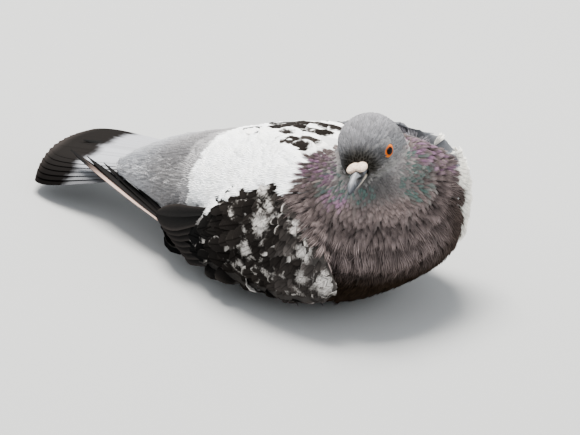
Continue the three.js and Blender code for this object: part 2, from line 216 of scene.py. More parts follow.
PUFF_PLACE, PUFF_REACH = np.array((36, -57, 61)) * MM, 18 * MM  # where the left shoulder is puffed out
PUFF_HEIGHT = 8 * MM
COAT_DEPTH = {"head": 0.1, "neck": 1.6, "trunk": 2.2, "wing_right": 1.5, "wing_left": 1.5}  # in millimetres

places = points_of(skin.data)
part_index = nearest_part(places)
depth = np.array([COAT_DEPTH[part] for part in FLESH])[part_index] * MM
links = read(skin.data.edges, "vertices", 2, np.int32)
neighbours = np.bincount(links.ravel(), minlength=len(places))


def averaged(values, rounds):
    """Values on the skin, evened out with their neighbours' this many times."""
    for _ in range(rounds):
        total = np.zeros_like(values)
        np.add.at(total, links[:, 0], values[links[:, 1]])
        np.add.at(total, links[:, 1], values[links[:, 0]])
        values = 0.5 * values + 0.5 * total / neighbours
    return values


depth = averaged(depth, 10)
outward = read(skin.data.vertex_normals, "vector", 3).astype(float)
puff = PUFF_HEIGHT * np.exp(-((np.linalg.norm(places - PUFF_PLACE, axis=1) / PUFF_REACH) ** 2))
places += outward * (ruffle(places) * TIER_HEIGHT + puff - depth - SEAM_COVER)[:, None]
for axis in range(3):
    places[:, axis] = averaged(places[:, axis], 3)
places[:, 2] = np.maximum(places[:, 2], FLOOR_CLEARANCE)
move_points(skin.data, places)

EYE_RADIUS = 5 * MM
EYE_PLACE = {  # of the left and the right eye, in the head's frame
    1: np.array((9.1, -7, 1.7)) * MM,
    -1: np.array((-6.6, -4.6, 1.4)) * MM,
}
EYE_AXIS = {1: np.array((0.93, -0.34, -0.2)), -1: np.array((-0.99, 0.04, -0.15))}
LID_OPENING = (30, 34)  # degrees that the lids leave open, across and along the almond of the eye
LID_TILT = math.radians(50)  # the almond leans back at its top
LID_HEIGHT, LID_DEPTH = 0.42 * MM, 0.9 * MM  # above the globe, and where a lid begins inside it
EYE_SURROUND = 8.5 * MM

select_only(skin)
bpy.ops.object.mode_set(mode="EDIT")
bpy.ops.mesh.select_all(action="DESELECT")
leave_edit()
local = in_head(points_of(skin.data))
eye_gap = np.minimum(*(np.linalg.norm(local - EYE_PLACE[side], axis=1) for side in (-1, 1)))
near_eye = eye_gap < EYE_SURROUND
for face in skin.data.polygons:
    face.select = all(near_eye[v] for v in face.vertices)
bpy.ops.object.mode_set(mode="EDIT")
bpy.ops.mesh.select_mode(type="FACE")
bpy.ops.mesh.subdivide(number_cuts=2, smoothness=0.6)
bpy.ops.mesh.select_mode(type="VERT")
leave_edit()


def eye_view(points, side):
    """Distance from an eye's middle, and the angles along the head and up and down from its axis."""
    axis = EYE_AXIS[side] / np.linalg.norm(EYE_AXIS[side])
    along = np.cross((0, 0, 1), axis)
    along /= np.linalg.norm(along)
    up = np.cross(axis, along)
    away = points - EYE_PLACE[side]
    far = np.linalg.norm(away, axis=1)
    ray = away / far[:, None]
    tilt = np.degrees(np.arccos(np.clip(ray @ axis, -1, 1)))
    bearing = np.arctan2(ray @ up, ray @ along) + side * LID_TILT
    return far, ray, tilt, bearing


places = points_of(skin.data)
local = in_head(places)
for side in (-1, 1):
    far, ray, tilt, bearing = eye_view(local, side)
    opening = 1 / np.sqrt((np.cos(bearing) / LID_OPENING[0]) ** 2 + (np.sin(bearing) / LID_OPENING[1]) ** 2)
    past = tilt - opening  # degrees outside the opening
    rim = EYE_RADIUS + LID_HEIGHT * (0.55 + 0.45 * np.exp(-(((past - 7) / 7) ** 2)))
    hidden = EYE_RADIUS - LID_DEPTH
    lid = np.where(past < 0, hidden, hidden + (rim - hidden) * smoothstep(0, 5, past))
    hold = 1 - smoothstep(12, 34, past)
    settled = np.maximum(far, EYE_RADIUS + 0.2 * MM)
    height = np.where(tilt < 85, lid * hold + settled * (1 - hold), far)
    reached = far < 9 * MM
    local[reached] = (EYE_PLACE[side] + ray * height[:, None])[reached]
move_points(skin.data, from_head(local))
select_only(skin)
bpy.ops.object.shade_smooth()


class Wire:
    """A socket in an expression: arithmetic on it adds Math nodes, and node() adds any other node."""

    def __init__(self, tree, socket=None):
        self.tree, self.socket = tree, socket

    def node(self, kind, settings=None, output=0, **inputs):
        """Adds a node. Each socket, named or given as _ and a number, gets a value or a Wire."""
        made = self.tree.nodes.new("ShaderNode" + kind)
        settings = dict(settings or {})
        stops = settings.pop("stops", None)
        for setting, value in settings.items():
            setattr(made, setting, value)
        if stops:
            while len(made.color_ramp.elements) < len(stops):
                made.color_ramp.elements.new(0.5)
            for element, (place, colour) in zip(made.color_ramp.elements, stops):
                element.position, element.color = place, colour
        for name, value in inputs.items():
            socket = made.inputs[int(name[1:])] if name[0] == "_" else made.inputs[name.replace("_", " ")]
            if isinstance(value, Wire):
                self.tree.links.new(value.socket, socket)
            else:
                socket.default_value = value
        return Wire(self.tree, made.outputs[output])

    def maths(self, operation, *others):
        values = {f"_{index}": value for index, value in enumerate((self, *others))}
        return self.node("Math", {"operation": operation}, **values)

    def __add__(self, other):
        return self.maths("ADD", other)

    def __sub__(self, other):
        return self.maths("SUBTRACT", other)

    def __rsub__(self, other):
        return self * -1 + other

    def __mul__(self, other):
        return self.maths("MULTIPLY", other)

    def __truediv__(self, other):
        return self.maths("DIVIDE", other)

    def __pow__(self, other):
        return self.maths("POWER", other)

    __radd__, __rmul__ = __add__, __mul__

    def place(self):
        return self.node("TexCoord", output=3)

    def stored(self, name, output=2):
        return self.node("Attribute", {"attribute_name": name}, output)

    def tint(self, *colour):
        made = self.node("RGB")
        made.socket.default_value = (*colour, 1)
        return made

    def noise(self, scale, detail, **more):
        """Noise at the place that this wire gives."""
        return self.node("TexNoise", Vector=self, Scale=float(scale), Detail=float(detail), **more)

    def bump(self, strength, depth, height):
        """The normal for this height, with its depth in millimetres."""
        return self.node("Bump", Strength=strength, Distance=depth * MM, Height=height)

    def between(self, low, high):
        """0 below low, 1 above high and a smooth step between."""
        return self.node(
            "MapRange", {"interpolation_type": "SMOOTHSTEP"}, Value=self, From_Min=low, From_Max=high
        )

    def towards(self, colour, share):
        """This colour mixed towards another by a share."""
        return self.node("Mix", {"data_type": "RGBA"}, output=2, _0=share, _6=self, _7=colour)


def new_material(name, **constants):
    """A material, its shader with these constants, and a Wire to build its nodes from."""
    made = bpy.data.materials.new(name)
    made.use_nodes = True
    shader = made.node_tree.nodes["Principled BSDF"]
    for socket, value in constants.items():
        shader.inputs[socket.replace("_", " ")].default_value = value
    return made, shader, Wire(made.node_tree)


def feed(shader, **wires):
    for socket, wire in wires.items():
        wire.tree.links.new(wire.socket, shader.inputs[socket.replace("_", " ")])


SLATE = (0.14, 0.138, 0.142)
CROWN = (0.21, 0.205, 0.215)
# the dark above the bill: partly the feathers' own colour, partly painted shadow under the overhanging
# forehead
BILL_SHADE = (0.012, 0.0105, 0.008)
CHEEK = (0.19, 0.182, 0.172)
COLLAR = (0.21, 0.2, 0.197)
PLUM = (0.15, 0.118, 0.112)
# the dark of the lower breast, belly and underside: partly the feathers' own colour, partly painted shade
# under the body
DUSKY_AND_SHADE = (0.024, 0.016, 0.011)
TEAL = (0.098, 0.148, 0.132)
MAGENTA = (0.33, 0.178, 0.3)
WHITE = (0.97, 0.965, 0.95)
RUMP = (0.27, 0.26, 0.26)
TAIL_GREY = (0.31, 0.312, 0.33)
CHARCOAL = (0.016, 0.0135, 0.012)
SMOKE = (0.03, 0.027, 0.026)
SOOT = (0.007, 0.007, 0.007)
# painted light: lightens the neck feathers in the shaded crevice between the neck and the left wing
NECK_CREVICE_LIGHT = (0.3, 0.285, 0.3)
RUMP_END = (0.42, 0.42, 0.435)
# the left wing's front: slate, lighter than the right wing's charcoal by painted sheen
WING_SLATE_SHEEN = (0.125, 0.13, 0.143)
VEIL = (0.06, 0.052, 0.048)
FLUFF = (0.78, 0.75, 0.68)
# where the neck is glossed with green and with magenta: x, y, z and reach, in millimetres
GREEN_SPOTS = ((-30, -44, 68, 14), (0, -70, 67, 13), (6, -64, 74, 11), (-26, -58, 66, 8))
WARM_SPOTS = ((17, -59, 77, 15), (24, -62, 70, 12), (-28, -30, 72, 14), (-34, -48, 62, 10))
# edges of patches: the cape's as z and y, the back's as y and z
CAPE_EDGE = ((26, -64), (35, -62), (40, -57), (48, -51), (54, -42), (61, -33), (70, -27), (74, -24))
BACK_EDGE = ((-18, 66), (-6, 59), (3, 55), (14, 49), (20, 42), (26, 36), (34, 30))
CHIN = ((-20, -62, 69, 12),)  # the shaded place under the bill
PALE_BLOTCHES = (  # the white of the wing coverts: x, y, z and reach on the right wing, in millimetres
    (-45, -12, 61, 7),
    (-48.5, -19.5, 56.5, 5),
    (-52, -17, 47.5, 9),
    (-55, -9.5, 33, 7),
    (-48.5, -38, 51, 7),
    (-51.5, -45, 41.5, 7),
    (-49, -58, 28, 11),
    (-54, -46, 29.5, 6),
    (-38, -14, 69.5, 6),
    (-50.5, 3.5, 47, 4),
)


def blend(first, second, share):
    """Row by row from the first colour to the second."""
    share = np.asarray(share)[..., None]
    return np.asarray(first) * (1 - share) + np.asarray(second) * share


def spots(points, places):
    """How far inside the nearest of these spots each point is: 1 in its middle and 0 at its edge."""
    found = np.zeros(len(points))
    for *middle, reach in places:
        gap = np.linalg.norm(points - np.array(middle) * MM, axis=1) / (reach * MM)
        found = np.maximum(found, 1 - gap)
    return np.clip(found, 0, 1)


def rump_edge(points):
    """How far behind the edge of the white back each point is."""
    return points[:, 1] - (59 * MM - 0.3 * np.abs(points[:, 0])) + 1.5 * MM * wobble(points, 9 * MM, 8)


def scapular_edge(points):
    """How far a point lies on the left of the line where the dark scapulars meet the white back."""
    return points[:, 0] + 4 * MM + 0.42 * np.clip(22 * MM - points[:, 1], 0, 1)


def cape(points):
    """How far in front of the rear edge of the neck and breast feathers a point lies. On the right they
    come down over the front of the wing."""
    edge = np.interp(points[:, 2], *(np.array(CAPE_EDGE).T * MM))
    right = ramp(-12, -24, points[:, 0])
    return edge * right - 30 * MM * (1 - right) - points[:, 1] + 2 * MM * wobble(points, 6 * MM, 15)


def over_wing(points):
    """How far above the lower edge of the white back a point of the right wing lies."""
    edge = np.interp(points[:, 1], *(np.array(BACK_EDGE).T * MM))
    return points[:, 2] - edge + 2 * MM * wobble(points, 6 * MM, 16)


def head_colour(points):
    local = in_head(points)
    from_bill = np.linalg.norm((local - np.array((0, -17, -2)) * MM) * (0.8, 1, 1), axis=1)
    colour = blend(SLATE, CROWN, ramp(3, 14, local[:, 2]))
    colour = blend(colour, CHEEK, ramp(0, -7, local[:, 2]))
    # darker towards the bill: partly own colour, partly painted shadow under the overhanging forehead
    dark = 1 - ramp(4.5, 14.5, from_bill)
    colour = blend(colour, BILL_SHADE, dark * ramp(-9, -5, local[:, 2]))
    colour = blend(colour, COLLAR, ramp(-9, -15, local[:, 2]) * 0.8)
    # painted light: the lower head away from the bill is lightened to lift the shade of the crease towards
    # the neck
    behind = ramp(12, 20, from_bill) * ramp(6, 0, local[:, 2])
    return colour * (1 + 0.35 * behind + 0.22 * wobble(points, 2.6 * MM, 12))[:, None]


def breast_colour(points):
    away = np.linalg.norm(points - THROAT, axis=1)
    colour = blend(COLLAR, PLUM, ramp(12, 26, away))
    # darker low on the breast and low on its left side: partly own colour, partly painted shade
    colour = blend(colour, DUSKY_AND_SHADE, ramp(38, 20, points[:, 2]))
    colour = blend(colour, DUSKY_AND_SHADE, ramp(4, 20, points[:, 0]) * ramp(62, 50, points[:, 2]) * 0.7)
    phase, marked = tiers(points)
    # painted shade just under the edge of each tier, and painted light towards its lower edge, where the
    # feathers stand up
    lit = 0.5 + 0.7 * smoothstep(0.08, 0.65, phase)
    colour = colour * (1 - 0.5 * smoothstep(0, 0.6, spots(points, CHIN)))[:, None]
    return colour * (1 + (lit - 1) * marked)[:, None]


def shoulder_down(points):
    """Where the white downy feathers of the left shoulder come out beside the breast: 0 to 1."""
    edge = points[:, 0] - (24.5 - 0.16 * np.maximum(52 - points[:, 2] / MM, 0)) * MM
    edge = edge + 5 * MM * wobble(points, 5 * MM, 14)
    tall = ramp(32, 42, points[:, 2]) * ramp(69, 64, points[:, 2])
    return ramp(-1, 1, edge) * ramp(-34, -40, points[:, 1]) * tall


def body_colour(points):
    """Breast, back, rump and belly."""
    y, z = points[:, 1], points[:, 2]
    top = ramp(30, 40, z)
    colour = blend(breast_colour(points), WHITE, shoulder_down(points))
    back = blend(WHITE, RUMP, ramp(-0.8, 0.8, rump_edge(points)))
    back = blend(back, RUMP_END, ramp(78, 108, y))
    # under the body: dark in front and greyer towards the rear; the dark is partly own colour, partly
    # painted shade
    under = blend(DUSKY_AND_SHADE, RUMP, ramp(20, 70, y))
    rear = blend(under, back, np.maximum(top, ramp(62, 70, y) * (z > 24 * MM)))
    return blend(colour, rear, np.minimum(ramp(-34, -26, y), ramp(2, -2, cape(points))))


def wing_colour(points):
    """Charcoal, greyer in front and black towards the flight feathers. The left wing's shoulder is slate,
    lighter than the right by painted sheen.
    """
    y = points[:, 1]
    veiled = ramp(-10, -38, y) * np.clip(0.55 + wobble(points, 6 * MM, 31), 0, 1)
    right = blend(blend(CHARCOAL, VEIL, veiled), SOOT, ramp(0, 40, y))
    # the left wing's lighter slate in front is painted sheen
    left = blend(WING_SLATE_SHEEN, SMOKE, ramp(-25, 20, y))
    return blend(right, left, ramp(8, 20, points[:, 0]))


def markings(points, part):
    """The colour of the plumage at each point, for the part of the bird that it lies on."""
    colour = body_colour(points)
    for index, kind in ((0, head_colour), (1, breast_colour), (3, wing_colour), (4, wing_colour)):
        colour[part == index] = kind(points)[part == index]
    wing = part == 3
    colour[wing & (over_wing(points) > 0)] = WHITE
    in_front = wing & (cape(points) > 0)
    colour[in_front] = breast_colour(points)[in_front]
    return colour


def wing_pale(points):
    """How white the coverts of either wing are, before their own pattern."""
    folded = np.column_stack([-np.abs(points[:, 0]), points[:, 1], points[:, 2]])
    flecks = smoothstep(0.12, 0.4, wobble(folded, 5.5 * MM, 21)) * ramp(25, -5, points[:, 1])
    return np.maximum(spots(folded, PALE_BLOTCHES) * 0.85, 0.32 * flecks) * (points[:, 2] > 12 * MM)


def colour_attribute(mesh, name, values):
    """Stores a colour for each vertex."""
    made = mesh.attributes.new(name, "FLOAT_COLOR", "POINT")
    full = np.ones((len(values), 4), np.float32)
    full[:, :3] = values
    made.data.foreach_set("color", full.ravel())


places = points_of(skin.data)
to_eye = np.minimum(*(eye_view(in_head(places), side)[0] for side in (-1, 1)))
lids = 1 - 0.5 * ramp(5.5, 5.3, to_eye)
under_share = 0.7 + 0.35 * ramp(12, 8, to_eye)  # the skin shows round the eyes
under = markings(places, nearest_part(places)) * (under_share * lids)[:, None]
colour_attribute(skin.data, "plumage", under)

down_paint, down_shader, w = new_material("skin_and_down", Roughness=0.95, Specular_IOR_Level=0.1)
grain = w.place().noise(900, 3)
down = w.stored("plumage", 0).towards((0.05, 0.045, 0.04, 1), grain * 0.5)
feed(down_shader, Base_Color=down, Normal=w.bump(0.5, 0.4, grain))
skin.data.materials.append(down_paint)

skin.data.uv_layers.new(name="OFBake")
select_only(skin)
edit_all()
bpy.ops.uv.smart_project(angle_limit=1.15, island_margin=0.002)
leave_edit()
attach(skin, "root")
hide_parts(*FLESH)

# ---- Eyes -------------------------------------------------------------------------------------------------
# Each eyeball is a wet globe with a slightly bulging cornea. The iris is orange-red, yellower at its rim,
# with a thin dark outer ring, round a large black pupil.

PUPIL, IRIS = 20, 40  # degrees from the eye's axis to their edges
CORNEA_BULGE, CORNEA_REACH = 0.35 * MM, 1.4 * MM
GAZE = {1: Vector((0.86, -0.47, -0.12)), -1: Vector((-0.99, -0.06, -0.12))}
IRIS_STOPS = [
    (0.0, (0.25, 0.04, 0.002, 1)),
    (0.35, (0.5, 0.095, 0.001, 1)),
    (0.75, (0.6, 0.17, 0.002, 1)),
    (1.0, (0.3, 0.04, 0.002, 1)),
]


def eyeball(side):
    """A globe with its pole on the eye's axis, so that the iris follows its rings."""
    bpy.ops.mesh.primitive_uv_sphere_add(segments=48, ring_count=32, radius=EYE_RADIUS)
    made = bpy.context.object
    made.name = "eyeball_left" if side > 0 else "eyeball_right"
    pick(made, lambda co: co.z > EYE_RADIUS * math.cos(math.radians(IRIS - 4)))
    bpy.ops.transform.translate(value=(0, 0, CORNEA_BULGE), use_proportional_edit=True,
                                proportional_edit_falloff="SMOOTH", proportional_size=CORNEA_REACH)
    leave_edit()
    local = points_of(made.data)
    store(made.data, "off_axis", np.degrees(np.arctan2(np.hypot(local[:, 0], local[:, 1]), local[:, 2])))
    aim = GAZE[side].to_track_quat("Z", "Y").to_matrix().to_4x4()
    set_in_head(made, Matrix.Translation(Vector(EYE_PLACE[side])) @ aim)
    return made


def set_in_head(item, place=Matrix()):
    """Carries a mesh made in the head's own frame to its place."""
    item.data.transform(Matrix.Translation(HEAD_CENTRE) @ (HEAD_TURN.to_4x4() @ place))


def dress(item, paint):
    item.data.materials.append(paint)
    select_only(item)
    bpy.ops.object.shade_smooth()


eye_paint, eye_shader, w = new_material(
    "wet_eye", Roughness=0.08, Specular_IOR_Level=0.05, Coat_Weight=0.02, Coat_Roughness=0.04
)
off_axis = w.stored("off_axis") + (w.place().noise(1400, 2) - 0.5) * 2.5
iris = w.node("ValToRGB", {"stops": IRIS_STOPS}, Fac=(off_axis - PUPIL) / (IRIS - PUPIL))
iris = iris.towards((0.012, 0.008, 0.006, 1), off_axis.between(IRIS - 2, IRIS + 1))
iris = iris.towards((0.002, 0.002, 0.002, 1), 1 - off_axis.between(PUPIL - 0.7, PUPIL + 0.7))
feed(eye_shader, Base_Color=iris)
for side, node_name in ((-1, "eye_right"), (1, "eye_left")):
    globe = eyeball(side)
    dress(globe, eye_paint)
    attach(globe, "root")
    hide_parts(node_name)

# ---- Bill -------------------------------------------------------------------------------------------------
# Two mandibles of grey horn, drawn out ring by ring from the face to the tip. The upper one ends in a short
# hook over the lower, and has a rounded ridge along its top with a painted highlight on it, and a slit of a
# nostril under the cere, painted near-black as painted shadow in its opening.

BILL_ROOT_Y, BILL_TIP_Y = -17, -37.5  # in the head's frame, in millimetres
NOSTRIL_Y = -26
BILL_RINGS = {  # y, z, half width, half height and slant in degrees of each ring
    "upper": (
        (-13, -3.6, 3.6, 2.2, 0), (-18, -3.9, 3.55, 2.3, 0), (-22, -4.3, 3.2, 2.2, 0),
        (-26, -4.9, 2.75, 1.95, -4), (-30, -5.5, 2.3, 1.75, -6), (-33, -6.1, 1.9, 1.6, -12),
        (-35.5, -6.8, 1.4, 1.35, -22), (BILL_TIP_Y + 0.5, -7.8, 0.8, 0.8, -38),
        (BILL_TIP_Y, -8.4, 0.3, 0.3, -50),
    ),
    "lower": (
        (-13, -6.6, 3, 1.4, 0), (-20, -7, 2.9, 1.35, 0), (-26, -7.3, 2.4, 1.25, 0),
        (-31, -7.5, 1.8, 1.05, 0), (-34.5, -7.8, 1.2, 0.8, 0), (-36, -8, 0.5, 0.4, 0),
    ),
}


def drawn_out(name, rings, around):
    """A closed horn: a round face extruded from ring to ring, each moved, sized and turned in turn."""
    bpy.ops.mesh.primitive_circle_add(
        vertices=around, radius=1 * MM, fill_type="NGON", rotation=(math.pi / 2, 0, 0)
    )
    made = bpy.context.object
    made.name = name
    bpy.ops.object.transform_apply(location=False, rotation=True, scale=False)
    edit_all()
    old = (0, 0, 1, 1, 0)
    for y, z, wide, high, slant in rings:
        step = (0, (y - old[0]) * MM, (z - old[1]) * MM)
        if old[0]:
            bpy.ops.mesh.extrude_region_move(TRANSFORM_OT_translate={"value": step})
        else:
            bpy.ops.transform.translate(value=step)
        centre = (0, y * MM, z * MM)
        bpy.ops.transform.resize(value=(wide / old[2], 1, high / old[3]), center_override=centre)
        if slant != old[4]:
            turn = math.radians(slant - old[4])
            bpy.ops.transform.rotate(value=turn, orient_axis="X", center_override=centre)
        old = (y, z, wide, high, slant)
    close_solid()
    return made


bill_paint, bill_shader, w = new_material("bill_horn", Specular_IOR_Level=0.06)
along_bill, ridge, slit, edge = (w.stored(name) for name in ("along", "ridge", "nostril", "cutting_edge"))
drawn = w.node("CombineXYZ", X=along_bill * 3.5, Y=ridge * 6.0, Z=edge * 6.0)
streaks = drawn.noise(1.6, 4, Distortion=0.8)
horn = w.tint(0.085, 0.088, 0.095)
for colour, share in (
    # painted highlight: a pale streaky band along the ridge of the upper mandible
    ((0.3, 0.3, 0.31, 1), ridge * streaks.between(0.3, 0.6)),
    ((0.015, 0.014, 0.013, 1), streaks.between(0.46, 0.6) * (1 - ridge) * 0.8),
    ((0.42, 0.36, 0.28, 1), (edge + (streaks - 0.5) * 0.9).between(0.45, 0.75) * (1 - along_bill) * 0.9),
    ((0.028, 0.03, 0.036, 1), along_bill.between(0.62, 0.95) * 0.85),
    # painted shadow in the opening of the nostril slit
    ((0.004, 0.004, 0.004, 1), slit),
):
    horn = horn.towards(colour, share)
feed(bill_shader, Base_Color=horn, Roughness=0.3 + streaks * 0.3, Normal=w.bump(0.25, 0.3, streaks - slit))
for title, around in (("upper", 16), ("lower", 14)):
    mandible = drawn_out("mandible_" + title, BILL_RINGS[title], around)
    apply_modifier(mandible, "SUBSURF", levels=2, render_levels=2)
    x, y, z = (points_of(mandible.data) / MM).T
    upper = title == "upper"
    along = np.clip((y - BILL_ROOT_Y) / (BILL_TIP_Y - BILL_ROOT_Y), 0, 1)
    gap = np.hypot((y - NOSTRIL_Y) / 2.6, (z + 4.7 + 0.12 * (y - NOSTRIL_Y)) / 0.7)
    rim_height = -5.6 - 0.11 * (-18 - y) - (0 if upper else 0.8)
    store(mandible.data, "along", along)
    store(mandible.data, "ridge", np.exp(-((x / 0.9) ** 2)) * (z > -7 + 2 * (1 - along)) * upper)
    store(mandible.data, "nostril", (1 - smoothstep(0.7, 1.15, gap)) * upper * (np.abs(x) > 1.2))
    store(mandible.data, "cutting_edge", np.exp(-(((z - rim_height) / 0.5) ** 2)))
    set_in_head(mandible)
    dress(mandible, bill_paint)
    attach(mandible, "root")
    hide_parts("bill_" + title)

# ---- Cere -------------------------------------------------------------------------------------------------
# Two chalky swellings that meet in a groove over the root of the bill, pinkish cream and finely grained.

CERE_LOBE = (2.9, 4.1, 1.75)  # half length, half width and half height, in millimetres
lobes = []
for side in (-1, 1):
    bpy.ops.mesh.primitive_uv_sphere_add(segments=40, ring_count=28, radius=1)
    lobes.append(bpy.context.object)
    lobes[-1].data.transform(
        Matrix.Translation(Vector((side * 2.0 + 0.3, -20.4, -1.25)) * MM)
        @ Euler((math.radians(8), 0, side * math.radians(14))).to_matrix().to_4x4()
        @ Matrix.Diagonal((*(Vector(CERE_LOBE) * MM), 1))
    )
select_only(*lobes)
bpy.ops.object.join()
cere = bpy.context.object
cere.name = "cere_swelling"
apply_modifier(cere, "REMESH", mode="VOXEL", voxel_size=0.22 * MM)
apply_modifier(cere, "SMOOTH", factor=0.5, iterations=5)
cere_paint, cere_shader, w = new_material("cere_chalk", Roughness=0.85)
grain, patch = w.place().noise(2200, 3), w.place().noise(500, 2)
chalk = w.tint(0.6, 0.46, 0.35).towards((0.38, 0.25, 0.19, 1), patch.between(0.42, 0.62) * 0.8)
chalk = chalk.towards((0.82, 0.72, 0.6, 1), grain.between(0.5, 0.65) * 0.55)
feed(cere_shader, Base_Color=chalk, Normal=w.bump(0.9, 0.6, grain * 0.5 + patch))
set_in_head(cere)
dress(cere, cere_paint)
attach(cere, "root")
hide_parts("cere")

# ---- Feather patterns -------------------------------------------------------------------------------------
# Every small feather is a copy of one of a few vanes. Each vane is modelled flat, 2 wide and 1 long with its
# root at 0, as a thin closed body; the loose ones end in a fan of separate barbs.

FAN_SPREAD = 0.95


def flat_grid(columns, rows):
    """A grid one long and one wide, with the middle of its root edge at 0."""
    bpy.ops.mesh.primitive_grid_add(
        x_subdivisions=columns, y_subdivisions=rows, size=1, location=(0, 0.5, 0)
    )
    bpy.ops.object.transform_apply(location=True, rotation=False, scale=False)
    return bpy.context.object


def taken(item, shades):
    """The places and triangles of a pattern, with the shade of each vertex. The object itself goes."""
    item.data.calc_loop_triangles()
    corners = np.array([tuple(t.vertices) for t in item.data.loop_triangles])
    made = (points_of(item.data), corners, shades)
    bpy.data.objects.remove(item)
    return made


def shape_vane(widths, thickness, crown=0.1, barbs=0, barb_width=0.1, body_end=0.6, contrast=0.0, seed=0):
    """Models a vane. widths gives the half width at even steps from the root to where the barbs begin."""
    steps = len(widths) - 1
    vane = flat_grid(2, steps)
    for row, width in enumerate(widths):
        level = row / steps
        pick(vane, lambda co: abs(co.y - level) < 0.01)
        bpy.ops.transform.resize(value=(2 * width, 1, 1), center_override=(0, level, 0))
    pick(vane, lambda co: abs(co.x) < 0.01)  # the quill's ridge along the middle
    bpy.ops.transform.translate(value=(0, 0, crown))
    bpy.ops.mesh.select_all(action="SELECT")
    if barbs:
        bpy.ops.transform.resize(value=(1, body_end, 1), center_override=(0, 0, 0))
    bpy.ops.mesh.extrude_region_move(TRANSFORM_OT_translate={"value": (0, 0, -thickness)})
    close_solid()
    chance = np.random.default_rng(seed)
    shades = [np.full(len(vane.data.vertices), 0.9 - 0.3 * contrast)]
    spikes = [vane]
    for index in range(barbs):
        place = 2 * (index + 0.5) / barbs - 1 + chance.uniform(-0.05, 0.05)
        start = (place * widths[-1] * 0.85, body_end * chance.uniform(0.7, 0.95))
        reach = 0.68 + 0.32 * math.cos(place * 1.25) - chance.uniform(0, 0.1)
        tip = (place * FAN_SPREAD + chance.uniform(-0.06, 0.06), reach)
        spikes.append(barb(start, tip, barb_width, thickness, chance.uniform(-0.06, 0.14)))
        shades.append(np.full(len(spikes[-1].data.vertices), 1 + contrast * chance.uniform(-0.6, 0.8)))
    if barbs:
        select_only(*spikes)
        bpy.ops.object.join()
    return taken(vane, np.concatenate(shades))


def barb(start, tip, width, thickness, lift):
    """A lock of barbs: a three-sided spike drawn out in two steps from inside the vane to the tip."""
    run = Vector((tip[0] - start[0], tip[1] - start[1], 0))
    bpy.ops.mesh.primitive_circle_add(
        vertices=3, radius=width, fill_type="NGON", location=(*start, 0.5 * thickness)
    )
    made = bpy.context.object
    made.rotation_euler = (math.pi / 2, 0, math.atan2(run.y, run.x) - math.pi / 2)
    made.scale = (1, thickness / width * 1.6, 1)
    bpy.ops.object.transform_apply(location=True, rotation=True, scale=True)
    edit_all()
    half = run * 0.5 + Vector((0, 0, lift * 0.5))
    bpy.ops.mesh.extrude_region_move(TRANSFORM_OT_translate={"value": half})
    bpy.ops.mesh.extrude_region_move(TRANSFORM_OT_translate={"value": half})
    bpy.ops.mesh.merge(type="CENTER")
    close_solid()
    return made


FACE_VANE = shape_vane((0.3, 0.85, 0.8, 0.25), 0.08, crown=0.06)
# the loose vanes: half widths, thickness, number and width of barbs, end of the body, contrast and seed
NECK_VANE, BREAST_VANE, BACK_VANE, RUMP_VANE = (
    shape_vane(widths, thickness, barbs=barbs, barb_width=wide, body_end=end, contrast=contrast, seed=seed)
    for widths, thickness, barbs, wide, end, contrast, seed in (
        ((0.15, 0.5, 0.65), 0.06, 8, 0.11, 0.45, 0.6, 1),
        ((0.08, 0.25, 0.35), 0.05, 9, 0.09, 0.28, 1.3, 2),
        ((0.12, 0.6, 0.9, 0.85), 0.05, 8, 0.15, 0.7, 0.1, 3),
        ((0.1, 0.5, 0.7), 0.05, 9, 0.09, 0.45, 0.3, 4),
    )
)
COVERT_VANE = shape_vane((0.15, 0.5, 0.76, 0.9, 0.94, 0.88, 0.66, 0.2), 0.06, crown=0.08)

# ---- Laying feathers --------------------------------------------------------------------------------------
# The feathers are set one by one into the skin. Each follows the skin from its root in the lie of the coat,
# rising little by little so that it covers the roots of the next ones.

STATIONS = 7  # places along a feather where it is fitted to the skin
PATCH = 0.003  # width of a feather's own patch on the map
STIFF = 0.35  # cosine of the bend at which a feather leaves the skin and goes straight on
RISE_BEND = 0.85  # power of the curve along which a feather rises
TRIES = 9  # roots tried for each that there is room for
SHADE_LIMIT = 1.7  # the lightest and darkest feathers, in standard deviations
AROUND = [(x, y, z) for x in (-1, 0, 1) for y in (-1, 0, 1) for z in (-1, 0, 1)]

skin_corners = [v.co for v in skin.data.vertices], [tuple(p.vertices) for p in skin.data.polygons]
skin_tree = BVHTree.FromPolygons(*skin_corners)
face_middle = read(skin.data.polygons, "center", 3).astype(float)
face_normal = read(skin.data.polygons, "normal", 3).astype(float)
face_area = read(skin.data.polygons, "area")
loop_start = read(skin.data.polygons, "loop_start", 1, np.int32)
face_map = read(skin.data.uv_layers["OFBake"].data, "uv", 2)[loop_start].astype(float)
face_part = nearest_part(face_middle)
face_x, face_y, face_z = face_middle.T


def scatter(chosen, spacing, seed):
    """Faces of the skin for roots about this far apart, and the roots, on the chosen faces."""
    chance = np.random.default_rng(seed)
    spacing = np.broadcast_to(spacing, chosen.shape)
    faces = np.flatnonzero(chosen)
    weight = face_area[faces] / spacing[faces] ** 2
    tries = int(weight.sum() * TRIES)
    drawn = chance.choice(faces, size=tries, p=weight / weight.sum())
    jitter = chance.uniform(-0.5, 0.5, (tries, 3)) * SKIN_GRAIN
    roots = face_middle[drawn] + jitter - (jitter * face_normal[drawn]).sum(1)[:, None] * face_normal[drawn]
    cell = spacing[faces].max()
    grid, kept = {}, []
    for index, (face, spot) in enumerate(zip(drawn, roots)):
        x, y, z = (spot // cell).astype(int)
        near = (other for dx, dy, dz in AROUND for other in grid.get((x + dx, y + dy, z + dz), ()))
        gaps = (roots[other] - spot for other in near)
        if all(gap @ gap >= spacing[face] ** 2 for gap in gaps):
            grid.setdefault((x, y, z), []).append(index)
            kept.append(index)
    return drawn[kept], roots[kept]


